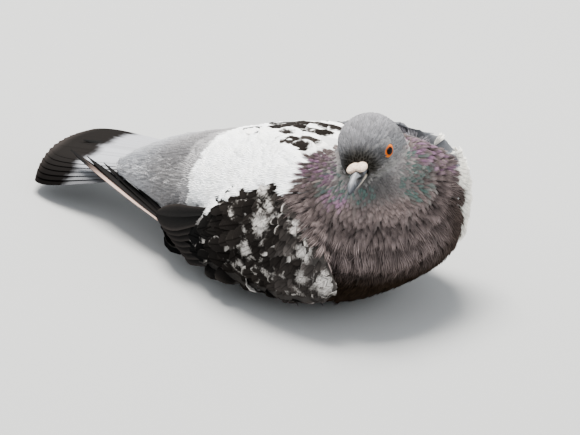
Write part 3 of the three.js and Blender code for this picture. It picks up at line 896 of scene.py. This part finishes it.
def unit(vectors):
    return vectors / np.maximum(np.linalg.norm(vectors, axis=-1, keepdims=True), 1e-12)


def lie(points):
    """The way that the feathers of the body point: out from the throat, then back along the body."""
    away = points - THROAT
    backward = np.zeros_like(points)
    backward[:, 1] = 1
    backward[:, 2] = -0.25 * ramp(70, 40, points[:, 2])
    share = ramp(36, 78, np.linalg.norm(away, axis=1))[:, None]
    share = np.maximum(share, ramp(-30, -5, points[:, 1])[:, None])
    return unit(unit(away) * (1 - share) + backward * share)


def trace(roots, headings, lengths, tree):
    """Follows the skin from each root. Gives the line, the skin's normal and the heading at each station.
    A feather bends with the skin but not round an edge: there it goes on as it went."""
    fitted = np.empty((3, len(roots), STATIONS, 3))
    last = None  # a root that stands off the skin takes the normal of the feather before it
    for index, root in enumerate(roots):
        spot, heading, free = Vector(root), Vector(headings[index]), False
        stride = lengths[index] / (STATIONS - 1)
        for station in range(STATIONS):
            found, normal, _, _ = tree.find_nearest(spot)
            free = free or station and normal.dot(last) < STIFF or (found - spot).length > stride
            if free:
                found, normal = spot, last
            heading = (heading - normal * heading.dot(normal)).normalized()
            fitted[:, index, station] = found, normal, heading
            last = normal
            spot = found + heading * stride
    line, up, ahead = fitted
    for field in (up, ahead):
        field[:, 1:-1] = (field[:, :-2] + 2 * field[:, 1:-1] + field[:, 2:]) / 4
    return line, unit(up), unit(ahead)


def write_feathers(name, places, vane, map_spots, tint, pale, trim, paint):
    """Makes one mesh of all the feathers: their places, vane coordinates, patches on the map and colours."""
    template, corners = vane[:2]
    count, size = len(places), len(template)
    triangles = (corners[None] + (np.arange(count) * size)[:, None, None]).reshape(-1)
    mesh = bpy.data.meshes.new(name)
    mesh.vertices.add(count * size)
    mesh.vertices.foreach_set("co", places.astype(np.float32).ravel())
    mesh.loops.add(len(triangles))
    mesh.loops.foreach_set("vertex_index", triangles.astype(np.int32))
    mesh.polygons.add(len(triangles) // 3)
    mesh.polygons.foreach_set("loop_start", np.arange(0, len(triangles), 3, dtype=np.int32))
    mesh.update(calc_edges=True)
    across, along = template[:, 0] * 0.5 + 0.5, template[:, 1]
    vane_map = np.tile(np.column_stack([across, along]), (count, 1))
    low = template[:, 2] < 0
    patch = np.column_stack([np.clip(across, 0, 1) * 0.45 + 0.55 * low, np.clip(along, 0, 1)]) - 0.5
    bake_map = np.clip(map_spots[:, None] + patch[None] * PATCH, 0.001, 0.999).reshape(-1, 2)
    for title, values in (("Vane", vane_map), ("OFBake", bake_map)):
        layer = mesh.uv_layers.new(name=title)
        layer.data.foreach_set("uv", values[triangles].astype(np.float32).ravel())
    colour_attribute(mesh, "plumage", tint.reshape(-1, 3))
    for title, values in (("pale", pale), ("trim", trim)):
        store(mesh, title, np.broadcast_to(values, (count, size)))
    item = bpy.data.objects.new(name, mesh)
    bpy.context.scene.collection.objects.link(item)
    select_only(item)
    bpy.ops.object.shade_smooth_by_angle(angle=math.radians(50))
    mesh.materials.append(paint)
    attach(item, "root")
    return item


def lay(name, vane, faces, roots, headings, sizes, paint, slot, part_colour, seed, over=skin_tree,
        unruly=0.12, roll=0.08, sink=0.35, camber=0.28, varied=0.08, root_shade=0.6, free_reach=3.5,
        pale=None, trim=None):
    """Sets a copy of the vane at each root. sizes holds their lengths, widths and the rises of their tips.
    Feathers whose tips end further than free_reach from the skin are left out."""
    chance = np.random.default_rng(seed)
    template = vane[0]
    turned = unit(headings + chance.normal(0, unruly, (len(roots), 3)))
    fitted = trace(roots, turned, sizes[0], over)
    stays = np.array([over.find_nearest(Vector(tip))[3] for tip in fitted[0][:, -1]]) < free_reach * MM
    faces, count = faces[stays], int(stays.sum())
    width, rise = (size[stays][:, None] for size in sizes[1:])
    fitted = [field[stays] for field in fitted]
    s, along = template[:, 0], np.clip(template[:, 1], 0, 1)
    station = along * (STATIONS - 1)
    lower = np.minimum(station.astype(int), STATIONS - 2)
    part = (station - lower)[None, :, None]
    middle, normal, forward = (
        field[:, lower] * (1 - part) + field[:, lower + 1] * part for field in fitted
    )
    side = unit(np.cross(forward, normal))
    across = s * width / 2
    height = -sink * MM + (rise + sink * MM) * along**RISE_BEND
    height = height + template[:, 2] * width / 2 - camber * s**2 * width / 2 * 0.5
    height = height + across * chance.normal(0, roll, count)[:, None]
    places = middle + side * across[..., None] + normal * height[..., None]
    places[..., 2] = np.maximum(places[..., 2], FLOOR_CLEARANCE)
    seen = fitted[0][:, -2]
    varied, root_shade = (np.broadcast_to(value, stays.shape)[stays] for value in (varied, root_shade))
    shade = 1 + (np.clip(chance.normal(0, 1, count), -SHADE_LIMIT, SHADE_LIMIT) * varied)[:, None]
    root_shade = root_shade[:, None, None]
    # painted shade: each feather darkens towards its root, where the feathers over it shade it; root_shade
    # is what is left at the root
    gradient = root_shade + (1 - root_shade) * smoothstep(0.2, 0.85, along)[:, None]
    tint = np.clip(part_colour(seen) * shade, 0, 0.95)[:, None] * gradient * vane[2][:, None]
    pale = pale(places.reshape(-1, 3)).reshape(count, -1) if pale else 0.0
    trim = trim(seen, chance)[:, None] if trim else 0.0
    write_feathers(name, places, vane, face_map[faces], tint, pale, trim, paint)


def sow(name, vane, chosen, spacing, seed, long, wide, high, paint, slot, colour, turn=1, **finish):
    """Scatters feathers over the chosen faces. Their sizes are drawn between limits, in millimetres."""
    faces, roots = scatter(chosen, spacing * MM, seed)
    chance = np.random.default_rng(seed + 1)
    sizes = [chance.uniform(*limits, len(roots)) * MM for limits in (long, wide)]
    sizes.append(high(roots, chance) if callable(high) else chance.uniform(*high, len(roots)) * MM)
    lay(name, vane, faces, roots, lie(roots) * turn, sizes, paint, slot, colour, seed + 2, **finish)


def plumage_paint(name, barbs, gloss, relief, speckle=0.12, fringe=0.0, mark=(0.85, 0.83, 0.8, 1),
                  soil=0.0):
    """A vane's finish: its own colour, fine barbs out from the quill, and white where it is marked."""
    made, shader, w = new_material(name, Specular_IOR_Level=0.0)
    pale, trim = w.stored("pale"), w.stored("trim")
    vane = w.node("UVMap", {"uv_map": "Vane"})
    across = w.node("SeparateXYZ", output=0, _0=vane) * 2 - 1
    along = w.node("SeparateXYZ", output=1, _0=vane)
    from_quill = across.maths("ABSOLUTE")
    place = w.place()
    patch, fine = place.noise(330, 3), place.noise(1500, 2)
    slant = (along - from_quill * 0.35) * barbs
    stripe = (slant * math.tau).maths("SINE")
    quill = 1 - from_quill.between(0.02, 0.1)
    lane = w.node("CombineXYZ", X=slant * 0.7 + trim * 91.0, Y=from_quill * 0.9, Z=across.maths("SIGN"))
    lane = w.node("VectorMath", {"operation": "MULTIPLY_ADD"}, _0=place, _1=(60.0, 60.0, 60.0), _2=lane)
    lane = lane.noise(1, 2)  # drawn out along the barbs
    blotch = patch * 0.5 + lane * 0.5 - 0.5
    white = (pale + blotch * 1.9).between(0.22, 0.62) * pale.between(0.03, 0.2)
    lean = (trim * 57.0).maths("FRACT") - 0.5  # the mark sits off the middle, as it falls out
    aside, beyond = across - lean * 0.8, along - 0.68 - lean * 0.2
    spot = (aside * aside + beyond * beyond * 5.0) ** 0.5
    edge = (spot + trim + blotch * 1.6).between(1.1, 1.55) * trim.between(0.01, 0.1)
    # lighter towards the vane's border, as much as fringe sets
    vane_border = (from_quill * from_quill + (along - 0.55) * (along - 0.55) * 4.6).between(0.78, 0.98)
    lit = w.stored("plumage", 0).towards((0.15, 0.135, 0.12, 1), vane_border * fringe * patch.between(0.3, 0.6))
    lit = lit.towards(mark, white.maths("MAXIMUM", edge) * (1 - lane.between(0.4, 0.75) * soil))
    lit = lit.towards((0.0, 0.0, 0.0, 1), fine * speckle + stripe * speckle * 0.5)
    lit = lit.towards((0.0, 0.0, 0.0, 1), quill * speckle * 2.0)
    rough, normal = gloss + fine * 0.25, w.bump(relief, 0.25, stripe * 0.5 + fine)
    feed(shader, Base_Color=lit, Roughness=rough, Normal=normal)
    return made


# ---- Head feathers ----------------------------------------------------------------------------------------
# Small close scales of slate grey, smallest round the bill and the eyes, and darkest above the bill, where
# their own dark colour is deepened by painted shadow under the overhanging forehead.

soft_paint = plumage_paint("soft_plumage", barbs=9, gloss=0.72, relief=0.35)
fine_paint = plumage_paint("fine_plumage", barbs=5, gloss=0.75, relief=0.25, speckle=0.3)

head_local = in_head(face_middle)
eye_fronts = [EYE_PLACE[side] + EYE_AXIS[side] * EYE_RADIUS for side in (-1, 1)]
to_eye = np.minimum(*(np.linalg.norm(head_local - eye, axis=1) for eye in eye_fronts))
from_cere = (head_local - np.array((0, -21, -1.8)) * MM) / np.array((1.15, 1.2, 0.75))
to_cere = np.linalg.norm(from_cere, axis=1)
on_face = (face_part == 0) & (to_eye > 4.9 * MM) & (to_cere > 4.2 * MM)
small = ramp(4, 15, np.minimum(to_cere, to_eye * 1.4))
faces, roots = scatter(on_face, (0.8 + 0.45 * small) * MM, seed=11)
sizes = [(least + more * small[faces]) * MM for least, more in ((1.7, 2.3), (1.1, 0.9), (0.2, 0.2))]
from_face = unit(roots - from_head(np.array([(0, -22, -2)]) * MM))
lay("head_feathers", FACE_VANE, faces, roots, from_face, sizes, fine_paint, "head_plumage", head_colour, 12,
    sink=0.12, varied=0.13, root_shade=0.8, camber=0.5)

# ---- Neck feathers ----------------------------------------------------------------------------------------
# The collar under the head: narrow feathers with split ends, many of them glossed with green or magenta.


def glossed(points):
    """The breast's colour with the gloss of the neck on some feathers."""
    colour = breast_colour(points)
    draw = np.random.default_rng(5).uniform(0, 1, len(points))
    # painted light on the neck feathers in the shaded crevice beside the left wing
    crevice_light = ramp(19, 26, points[:, 0]) * ramp(62, 68, points[:, 2])
    colour = blend(colour, NECK_CREVICE_LIGHT, crevice_light * ramp(-52, -44, points[:, 1]))
    green = smoothstep(0.05, 0.4, spots(points, GREEN_SPOTS))
    colour = blend(colour, TEAL, (draw < 0.6) * green * (0.4 + draw))
    warm = smoothstep(0.05, 0.5, spots(points, WARM_SPOTS))
    return blend(colour, MAGENTA, (draw > 0.45) * warm * (draw - 0.3))


throat_gap = np.linalg.norm(face_middle - THROAT, axis=1)
front = (face_y < -30 * MM) & ((face_part == 1) | (face_part == 2))
front |= (cape(face_middle) > 0) & (face_part > 0) & (face_part < 4)
downy = shoulder_down(face_middle) > 0.5
ragged = np.random.default_rng(19).normal(0, 2.5 * MM, len(face_middle))  # the down thins out at its edge
in_height = abs(face_z - 52 * MM) < 13 * MM + ragged
downy |= (face_part == 4) & (face_y < -46 * MM + ragged) & in_height
downy &= face_x > 0
# faces on top of the left shoulder that get coverts, whose lighter slate is painted sheen
slate = (face_x > 28 * MM) & (face_z > 60 * MM) & (face_part > 1) & ~downy
front &= ~slate
collar = front & ~downy & ((face_part == 1) | (throat_gap < 33 * MM))
far = ramp(15, 34, throat_gap)
faces, roots = scatter(collar, (1.1 + 0.6 * far) * MM, seed=21)
far = far[faces]
chance = np.random.default_rng(22)
sizes = [
    (least + more * far) * chance.uniform(1 - play, 1 + play, len(roots)) * MM
    for least, more, play in ((4.2, 5.3, 0.15), (1.7, 1.2, 0.15), (0.5, 1.2, 0.3))
]
lay("neck_feathers", NECK_VANE, faces, roots, lie(roots), sizes, soft_paint, "neck_plumage", glossed, 23,
    varied=0.06 + 0.18 * far, root_shade=0.75 - 0.5 * far, unruly=0.14)

# ---- Breast feathers --------------------------------------------------------------------------------------
# Loose dusky feathers that end in hair-like barbs and stand in ruffled folds, since the neck is drawn in.
# Painted shade lies under each fold's edge and low on the breast, and painted light towards each tier's
# lower edge. White down comes out beside them at the left shoulder.


def tier_rise(roots, chance):
    """How high the tips stand: most at the lower edge of each tier, and flat just below it."""
    phase, marked = tiers(roots + lie(roots) * (8 * MM))
    loose = chance.uniform(0.9, 2.0, len(roots))
    return (loose + marked * (2.6 * smoothstep(0.45, 0.95, phase) - 0.5)) * MM


breast = front & ~collar & ~downy & (face_z > 1.2 * MM)
for title, chosen, seed in (("upper", throat_gap < 47 * MM, 31), ("lower", throat_gap >= 47 * MM, 41)):
    sow("breast_feathers_" + title, BREAST_VANE, breast & chosen, 1.85, seed, (8.5, 12), (3, 4.4),
        tier_rise, soft_paint, "body_plumage", glossed,
        varied=0.16, root_shade=0.35, unruly=0.14, roll=0.14)
thick = downy & (face_z > 4 * MM)
sow("shoulder_down", RUMP_VANE, thick, 1.7, 111, (7, 10.5), (4, 6), (2.4, 3.8), soft_paint, "wing_plumage",
    # the down darkens low down: partly own colour, partly painted shade under the body
    lambda points: blend(DUSKY_AND_SHADE, FLUFF, ramp(12, 26, points[:, 2])), varied=0.1, unruly=0.15)

# ---- Back, rump and belly feathers ------------------------------------------------------------------------
# Soft rounded feathers that lie close: white on the back, grey on the rump and dusky below, partly by
# painted shade under the body. The rump's, and the longer coverts behind them, lie over the roots of the
# tail.

white_wing = (face_part == 3) & (over_wing(face_middle) > 0) & ~front
torso = ((face_part == 2) & (face_z > 1.2 * MM) | (face_part == 1)) & ~front
torso = (torso | white_wing) & ~slate
upper = torso & (face_z > 30 * MM)
behind = rump_edge(face_middle)
scapular = upper & (scapular_edge(face_middle) > 0) & (face_y < 25 * MM)
scapular |= upper & (face_y < -12 * MM) & (face_x > -22 * MM)
grey = (upper | torso & (face_y > 62 * MM)) & (behind >= 0)
grey &= face_y <= 112 * MM
tail_root = torso & (face_y > 80 * MM) & (face_y < 112 * MM)
tail_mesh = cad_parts["tail"].data
tail_mesh.calc_loop_triangles()
corners = [tuple(v + len(skin_corners[0]) for v in t.vertices) for t in tail_mesh.loop_triangles]
vertices = skin_corners[0] + [v.co for v in tail_mesh.vertices]
rump_tree = BVHTree.FromPolygons(vertices, skin_corners[1] + corners)
back_paint = plumage_paint("back_plumage", barbs=9, gloss=0.85, relief=0.1, speckle=0.01)
for title, vane, chosen, spacing, seed, long, wide, paint, root_shade in (
    ("back", BACK_VANE, upper & (behind < 0) & ~scapular, 2.8, 51, (10, 14), (6.5, 8.5), back_paint, 1),
    ("rump", RUMP_VANE, grey, 2.6, 61, (12, 18), (5, 7), soft_paint, 0.8),
    ("belly", BACK_VANE, torso & ~upper & (behind < 0), 3.6, 71, (12, 16), (8, 10), soft_paint, 0.8),
):
    sow(title + "_feathers", vane, chosen, spacing, seed, long, wide, (1.1, 1.7), paint, "body_plumage",
        body_colour, varied=0.05, root_shade=root_shade, roll=0.03, over=rump_tree, free_reach=9)
sow("tail_coverts", COVERT_VANE, tail_root, 3.4, 121, (18, 26), (8, 10), (0.1, 0.6), soft_paint,
    "tail_feathers", lambda points: blend(RUMP, TAIL_GREY, ramp(95, 135, points[:, 1])),
    turn=(0.5, 1, 0.5), varied=0.06, root_shade=0.9, roll=0.02, over=rump_tree, free_reach=2.5, unruly=0.05)

# ---- Scapulars and wing coverts ---------------------------------------------------------------------------
# Firm rounded feathers in rows from the shoulder to the flight feathers: charcoal, many of them edged or
# blotched with white. On the left shoulder they reach over the middle of the back.

covert_paint = plumage_paint(
    "covert_plumage", barbs=16, gloss=0.6, relief=0.5, speckle=0.25, fringe=0.2,
    mark=(0.6, 0.56, 0.52, 1), soil=0.85,
)
scapular_paint = plumage_paint(
    "scapular_plumage", barbs=18, gloss=0.6, relief=0.3, speckle=0.06, fringe=0.6
)


def rows_on(chosen, row_step, feather_step, seed):
    """Roots in staggered rows across the body, on the chosen faces."""
    chance = np.random.default_rng(seed)
    faces = np.flatnonzero(chosen)
    round_body = np.arctan2(face_middle[faces, 2] - 38 * MM, -face_middle[faces, 0]) * 45 * MM
    flat = np.column_stack([face_middle[faces, 1], round_body])
    low, high = flat.min(0), flat.max(0)
    found = []
    for row in range(int((high[0] - low[0]) / row_step) + 1):
        for place in range(int((high[1] - low[1]) / feather_step) + 2):
            spot = low + (row * row_step, (place + 0.5 * (row % 2)) * feather_step)
            spot = spot + chance.uniform(-0.14, 0.14, 2) * feather_step
            gaps = ((flat - spot) ** 2).sum(1)
            nearest = int(np.argmin(gaps))
            if gaps[nearest] < (1.3 * MM) ** 2:
                found.append(faces[nearest])
    found = np.array(found)
    return found, face_middle[found]


def covert_trim(points, chance):
    """How broadly each covert is edged with white: some have a rim, a few are half white, most are plain."""
    draw = chance.uniform(0, 1, len(points))
    front = (points[:, 1] < -5 * MM) & (points[:, 2] > 14 * MM)
    return np.where((draw < 0.1) & front, 0.4 + draw, np.where(draw < 0.25, 0.15 + 0.5 * draw, 0.0))


def scapular_trim(points, chance):
    """The scapulars are white, edged with white round a dark drop, or dark with a thin rim."""
    draw = chance.uniform(0, 1, len(points))
    share = 0.05 + 0.2 * ramp(-24, -8, points[:, 0])
    return np.where(draw < share, 1.3 + draw, np.where(draw < 0.75, 0.15 + 0.55 * draw, 0.1 * draw))


outer = (face_normal[:, 0] * np.sign(face_x) > -0.1) | (face_normal[:, 2] > 0.5)
outer &= face_normal[:, 2] > -0.4
shoulder = outer | (face_y < -12 * MM) & (face_normal[:, 2] > -0.1)
forward = face_y < -20 * MM
right = (face_part == 3) & outer & ~front & ~white_wing
left = (face_part == 4) & shoulder & ~downy | slate
for name, chosen, steps, larger, paint, trim, seed in (
    ("coverts_right", right & ~forward, (5.2, 6), 1, covert_paint, covert_trim, 81),
    ("coverts_left", left & ~forward, (5.2, 6), 1, covert_paint, covert_trim, 91),
    ("lesser_coverts_right", right & forward, (3.4, 4), 0.72, covert_paint, covert_trim, 131),
    ("lesser_coverts_left", left & forward, (2.7, 3.2), 0.58, covert_paint, covert_trim, 141),
    ("scapulars", scapular, (6.8, 7.4), 1.25, scapular_paint, scapular_trim, 101),
):
    faces, roots = rows_on(chosen & (face_z > 7 * MM), steps[0] * MM, steps[1] * MM, seed)
    chance = np.random.default_rng(seed + 1)
    grown = ramp(-55, 35, roots[:, 1])
    heading = lie(roots)
    heading[:, 2] -= 0.25 * (1 - grown)
    sizes = [
        (9.5 + 9 * grown) * larger * chance.uniform(0.85, 1.2, len(roots)) * MM,
        (7.5 + 4.5 * grown) * larger * chance.uniform(0.8, 1.15, len(roots)) * MM,
        chance.uniform(0.5, 1.4, len(roots)) * MM,
    ]
    lay(name, COVERT_VANE, faces, roots, unit(heading), sizes, paint, "wing_plumage", wing_colour, seed + 2,
        varied=0.3, pale=wing_pale, trim=trim, unruly=0.14, roll=0.12, free_reach=1.8)

# ---- Tail and flight feathers -----------------------------------------------------------------------------
# Long stiff vanes with a quill along them: twelve in the fan of the tail, and the free ends of the
# secondaries and primaries of each folded wing. Each is one thin closed blade, bent along its own line.

QUILL_COLUMNS = (-1, -0.75, -0.4, -0.07, 0, 0.07, 0.4, 0.75, 1)
QUILL_ROWS = 40
ASIDE = 10  # the columns that have been moved wait this far off, so that none is picked twice


def shape_quill():
    """Models a flat blade 2 wide and 1 long, with narrow middle columns for its quill's ridge above and
    below.
    """
    columns = len(QUILL_COLUMNS) - 1
    blade = flat_grid(columns, QUILL_ROWS)
    for index, place in enumerate(QUILL_COLUMNS):
        old = index / columns - 0.5
        pick(blade, lambda co: abs(co.x - old) < 0.001)
        bpy.ops.transform.translate(value=(ASIDE + place - old, 0, 0))
    bpy.ops.mesh.select_all(action="SELECT")
    bpy.ops.transform.translate(value=(-ASIDE, 0, 0))
    bpy.ops.mesh.extrude_region_move(TRANSFORM_OT_translate={"value": (0, 0, -1)})
    close_solid()
    return taken(blade, 1.0)


QUILL_VANE = shape_quill()


def long_feather(line, across, width, thickness, camber):
    """Places of one blade. line and width give its middle and its width, in millimetres, along u."""
    s, u, low = QUILL_VANE[0][:, 0], QUILL_VANE[0][:, 1], QUILL_VANE[0][:, 2] < -0.5
    ahead = unit(line(u + 0.01) - line(u - 0.01))
    flat = across(u) if callable(across) else np.broadcast_to(across, (len(u), 3))
    side = unit(flat - ahead * (ahead * flat).sum(1)[:, None])
    up = unit(np.cross(side, ahead))
    ridge = 0.35 * np.exp(-((s / 0.05) ** 2)) * (1 - 0.75 * u)
    rim = np.clip((1 - np.abs(s)) * 3, 0.15, 1) * np.clip((1 - u) * 12, 0.3, 1)
    height = camber(u) * (1 - s**2) + np.where(low, -thickness * rim - ridge, ridge)
    return line(u) + side * (s * width(u) / 2)[:, None] + up * height[:, None]


def widening(u):
    """The share of its full width that a long feather has near its root."""
    return np.minimum(1, 0.35 + 1.3 * u)


def at(u, x, y, z):
    return np.column_stack([np.broadcast_to(value, np.shape(u)) for value in (x, y, z)])


def long_feathers(name, blades, tint, replaced):
    """Joins the blades into one piece. tint gives the colour from u, s and the blade's number."""
    places = np.array(blades) * MM
    s, u, _ = QUILL_VANE[0].T
    colours = np.array([tint(u, s, index) for index in range(len(places))])
    found = [skin_tree.find_nearest(Vector(root))[2] for root in places[:, 4]]
    item = write_feathers(name, places, QUILL_VANE, face_map[found], colours, 0.0, 0.0, quill_paint)
    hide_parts(replaced)


TAIL_FEATHERS, TAIL_DROP, TAIL_FAN = 12, 25.7, math.radians(5)
TILE_GAP = 0.2  # how far each feather lies below its inner neighbour
BAND_START = 0.72
TAIL_BAND = (0.01, 0.009, 0.0085)
TAIL_TIP = (0.045, 0.038, 0.035)


def tail_blade(index):
    p = 2 * index / (TAIL_FEATHERS - 1) - 1
    outer = abs(p)
    length = 118 - 5 * outer**2 + 3 * p

    def line(u):
        middle = 38 - TAIL_DROP * u + 3 * u**2
        across_fan = p * (0.03 + 0.28 * u) - 0.065 * u * p**2
        height = middle + (9 + TAIL_FAN * length * u) * across_fan
        height = height - TILE_GAP * (TAIL_FEATHERS - 1) / 2 * outer
        sideways = 3 + 9 * p + math.sin(TAIL_FAN * p) * length * u
        return at(u, sideways, 72 + math.cos(TAIL_FAN * p) * length * u, height)

    def across(u):
        """The fan rises to the left, most near the tips, and is a little hollow."""
        return at(u, 1, 0, 0.03 + 0.28 * u - 0.13 * u * p)

    def width(u):
        return 21 * widening(u) * np.sqrt(np.maximum(0.0004, 1 - np.maximum(0, (u - 0.72) / 0.28) ** 2.6))

    return long_feather(line, across, width, 0.12, lambda u: 0.1 * u)


def tail_tint(u, s, index):
    chance = np.random.default_rng(300 + index)
    start = BAND_START + chance.uniform(-0.012, 0.012)
    ragged = start + 0.012 * np.sin(s * 5 + index) + 0.01 * np.abs(s)
    colour = blend(RUMP, TAIL_GREY, smoothstep(0.3, 0.6, u))
    colour = blend(colour, TAIL_BAND, smoothstep(ragged - 0.035, ragged + 0.03, u))
    colour = blend(colour, TAIL_TIP, smoothstep(0.93, 1, u) * 0.6)
    # painted shade: the right-hand feathers, on the low side of the fan, are darker. Each blade is also a
    # little darker at its edges.
    return colour * min(1, 0.27 + 0.13 * index) * (1 - 0.12 * np.abs(s)[:, None] ** 4)


quill_paint = plumage_paint("flight_plumage", barbs=70, gloss=0.6, relief=0.3, speckle=0.06)
tail = [tail_blade(index) for index in range(TAIL_FEATHERS)]
long_feathers("tail_vanes", tail, tail_tint, "tail")

SECONDARIES, PRIMARIES = 7, 4
TIP_SHIFT = {-1: (0, 0, 0), 1: (0, 14, -4)}  # of the primaries, in millimetres
PRIMARY_ARCH = {-1: 0, 1: 3}
# the pale web and shaft of the first primary, painted in the darker pinkish tone that white feathers take in
# shade
PALE_WEB_IN_SHADE = {-1: (0.38, 0.27, 0.23), 1: (0.24, 0.23, 0.225)}


def secondary_blade(index, side):
    q = index / (SECONDARIES - 1)

    def line(u):
        bow = -7 * np.sin(math.pi * u) - 2.8 * q
        x = (-40 + 3 * q) * (1 - u) + (-27 - 3 * q) * u + bow
        y = (18 + 2 * q) * (1 - u) + (60 + 19 * q - 6 * q**3) * u
        return at(u, -side * x, y, (15 + 24 * q) * (1 - u) + (12 + 9.5 * q) * u)

    def width(u):
        return 13 * widening(u) * (1 - np.maximum(0, (u - 0.55) / 0.45) ** 2 * 0.75)

    return long_feather(line, (-0.35 * side, 0, 1), width, 0.25, lambda u: 0.4)


def primary_blade(index, side):
    def line(u):
        root = np.array((-37, 46, 16.5 + 0.4 * index))
        tip = np.array((-10.5, 160, 25)) + np.array(TIP_SHIFT[side]) + index * np.array((-0.7, -13, 0.3))
        way = root + (tip - root) * u[:, None]
        way[:, 2] += PRIMARY_ARCH[side] * np.sin(math.pi * u)
        way[:, 0] *= -side
        return way

    def width(u):
        return (8 - 1.6 * index) * np.minimum(1, 0.6 + u) * np.maximum(0, 1 - u**5) + 0.6

    flat = (0.94 * -side, -0.17, -0.28)
    return long_feather(line, flat, width, 1.1 - 0.15 * index, lambda u: 0.7 - 0.5 * u)


def secondary_tint(u, s, index, side):
    return blend(SOOT, TAIL_TIP, 0.55 * np.abs(s) ** 6 + 0.1 * u)


def primary_tint(u, s, index, side):
    """The first primary shows its pale inner web and its shaft, painted darker, as they look in shade."""
    colour = blend(SOOT, TAIL_TIP, 0.3 * (1 - u))
    if index:
        return colour
    pale = smoothstep(0.85, 0.6, u) * smoothstep(0.35 * u - 0.1, 0.35 * u + 0.1, -s)
    shaft = np.exp(-((s / 0.08) ** 2)) * smoothstep(0.95, 0.6, u)
    return blend(colour, PALE_WEB_IN_SHADE[side], np.maximum(pale, shaft * 0.7))


for side, title in ((-1, "right"), (1, "left")):
    for kind, plural, blade, count, tint in (
        ("secondary", "secondaries", secondary_blade, SECONDARIES, secondary_tint),
        ("primary", "primaries", primary_blade, PRIMARIES, primary_tint),
    ):
        blades = [blade(index, side) for index in range(count)]
        long_feathers(
            f"{kind}_vanes_{title}", blades, lambda u, s, index: tint(u, s, index, side),
            f"{plural}_{title}",
        )

# ---- Legs and claws ---------------------------------------------------------------------------------------
# The shanks and toes, folded under the belly, keep their solids and get a dull red skin of small horny
# scales; the claws are dark horn.

leg_paint, leg_shader, w = new_material("leg_skin", Roughness=0.6, Specular_IOR_Level=0.3)
scales = w.node("TexVoronoi", {"feature": "DISTANCE_TO_EDGE"}, Vector=w.place(), Scale=620.0)
leg = w.tint(0.3, 0.055, 0.045)
leg = leg.towards((0.42, 0.14, 0.12, 1), w.place().noise(260, 3).between(0.4, 0.65) * 0.7)
leg = leg.towards((0.12, 0.035, 0.03, 1), 1 - scales.between(0.0, 0.14))
feed(leg_shader, Base_Color=leg, Normal=w.bump(0.6, 0.4, scales.between(0.0, 0.2)))

claw_paint, claw_shader, w = new_material("claw_horn", Specular_IOR_Level=0.4)
growth = w.place().noise(900, 3, Distortion=1.0)
claw = w.tint(0.022, 0.019, 0.018).towards((0.09, 0.08, 0.075, 1), growth.between(0.5, 0.8))
feed(claw_shader, Base_Color=claw, Roughness=0.3 + growth * 0.3)
for node_name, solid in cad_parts.items():
    if node_name.startswith(("shank", "foot")):
        solid.material_slots[0].material = leg_paint
    if node_name.startswith("claw"):
        solid.material_slots[0].material = claw_paint

# ---- Studio -----------------------------------------------------------------------------------------------
# A plain pale floor, one broad soft lamp above the bird, a weaker one on the other side, and a camera that
# stands to the bird's front right and looks a little down on it.

CAMERA_AZIMUTH, CAMERA_ELEVATION = math.radians(-45), math.radians(22)
CAMERA_DISTANCE = 1.8
CAMERA_TARGET = Vector((-0.85, 13.63, 27.36)) * MM
SENSOR_WIDTH = 36
VIEW_WIDTH = 0.2784  # what the frame takes in at the target

bpy.ops.mesh.primitive_plane_add(size=6, location=(0, 0, 0))
floor = bpy.context.object
floor.name = "floor"
floor.data.materials.append(new_material("pale_floor", Base_Color=(0.3, 0.3, 0.295, 1), Roughness=0.9)[0])

world = bpy.data.worlds.new("studio_air")
bpy.context.scene.world = world
world.use_nodes = True
world.node_tree.nodes["Background"].inputs["Color"].default_value = (0.9, 0.95, 1, 1)
world.node_tree.nodes["Background"].inputs["Strength"].default_value = 1.55

for name, place, size, power, colour in (  # in metres and watts
    ("key", (0.25, 0.45, 1.7), 0.9, 160, (1, 0.98, 0.94)),
    ("fill", (0.5, -1.7, 0.9), 1.4, 30, (0.95, 0.97, 1)),
):
    bpy.ops.object.light_add(type="AREA", location=place)
    lamp = bpy.context.object
    lamp.name = name
    lamp.data.shape, lamp.data.size, lamp.data.energy, lamp.data.color = "SQUARE", size, power, colour
    lamp.rotation_euler = (CAMERA_TARGET - Vector(place)).to_track_quat("-Z", "Y").to_euler()

level = math.cos(CAMERA_ELEVATION)
back = Vector((
    math.sin(CAMERA_AZIMUTH) * level, -math.cos(CAMERA_AZIMUTH) * level, math.sin(CAMERA_ELEVATION)
))
bpy.ops.object.camera_add(location=CAMERA_TARGET + back * CAMERA_DISTANCE)
camera = bpy.context.object
camera.rotation_euler = (-back).to_track_quat("-Z", "Y").to_euler()
camera.data.sensor_width = SENSOR_WIDTH
camera.data.lens = SENSOR_WIDTH * CAMERA_DISTANCE / VIEW_WIDTH
camera.data.clip_start, camera.data.clip_end = 0.05, 20
bpy.context.scene.camera = camera
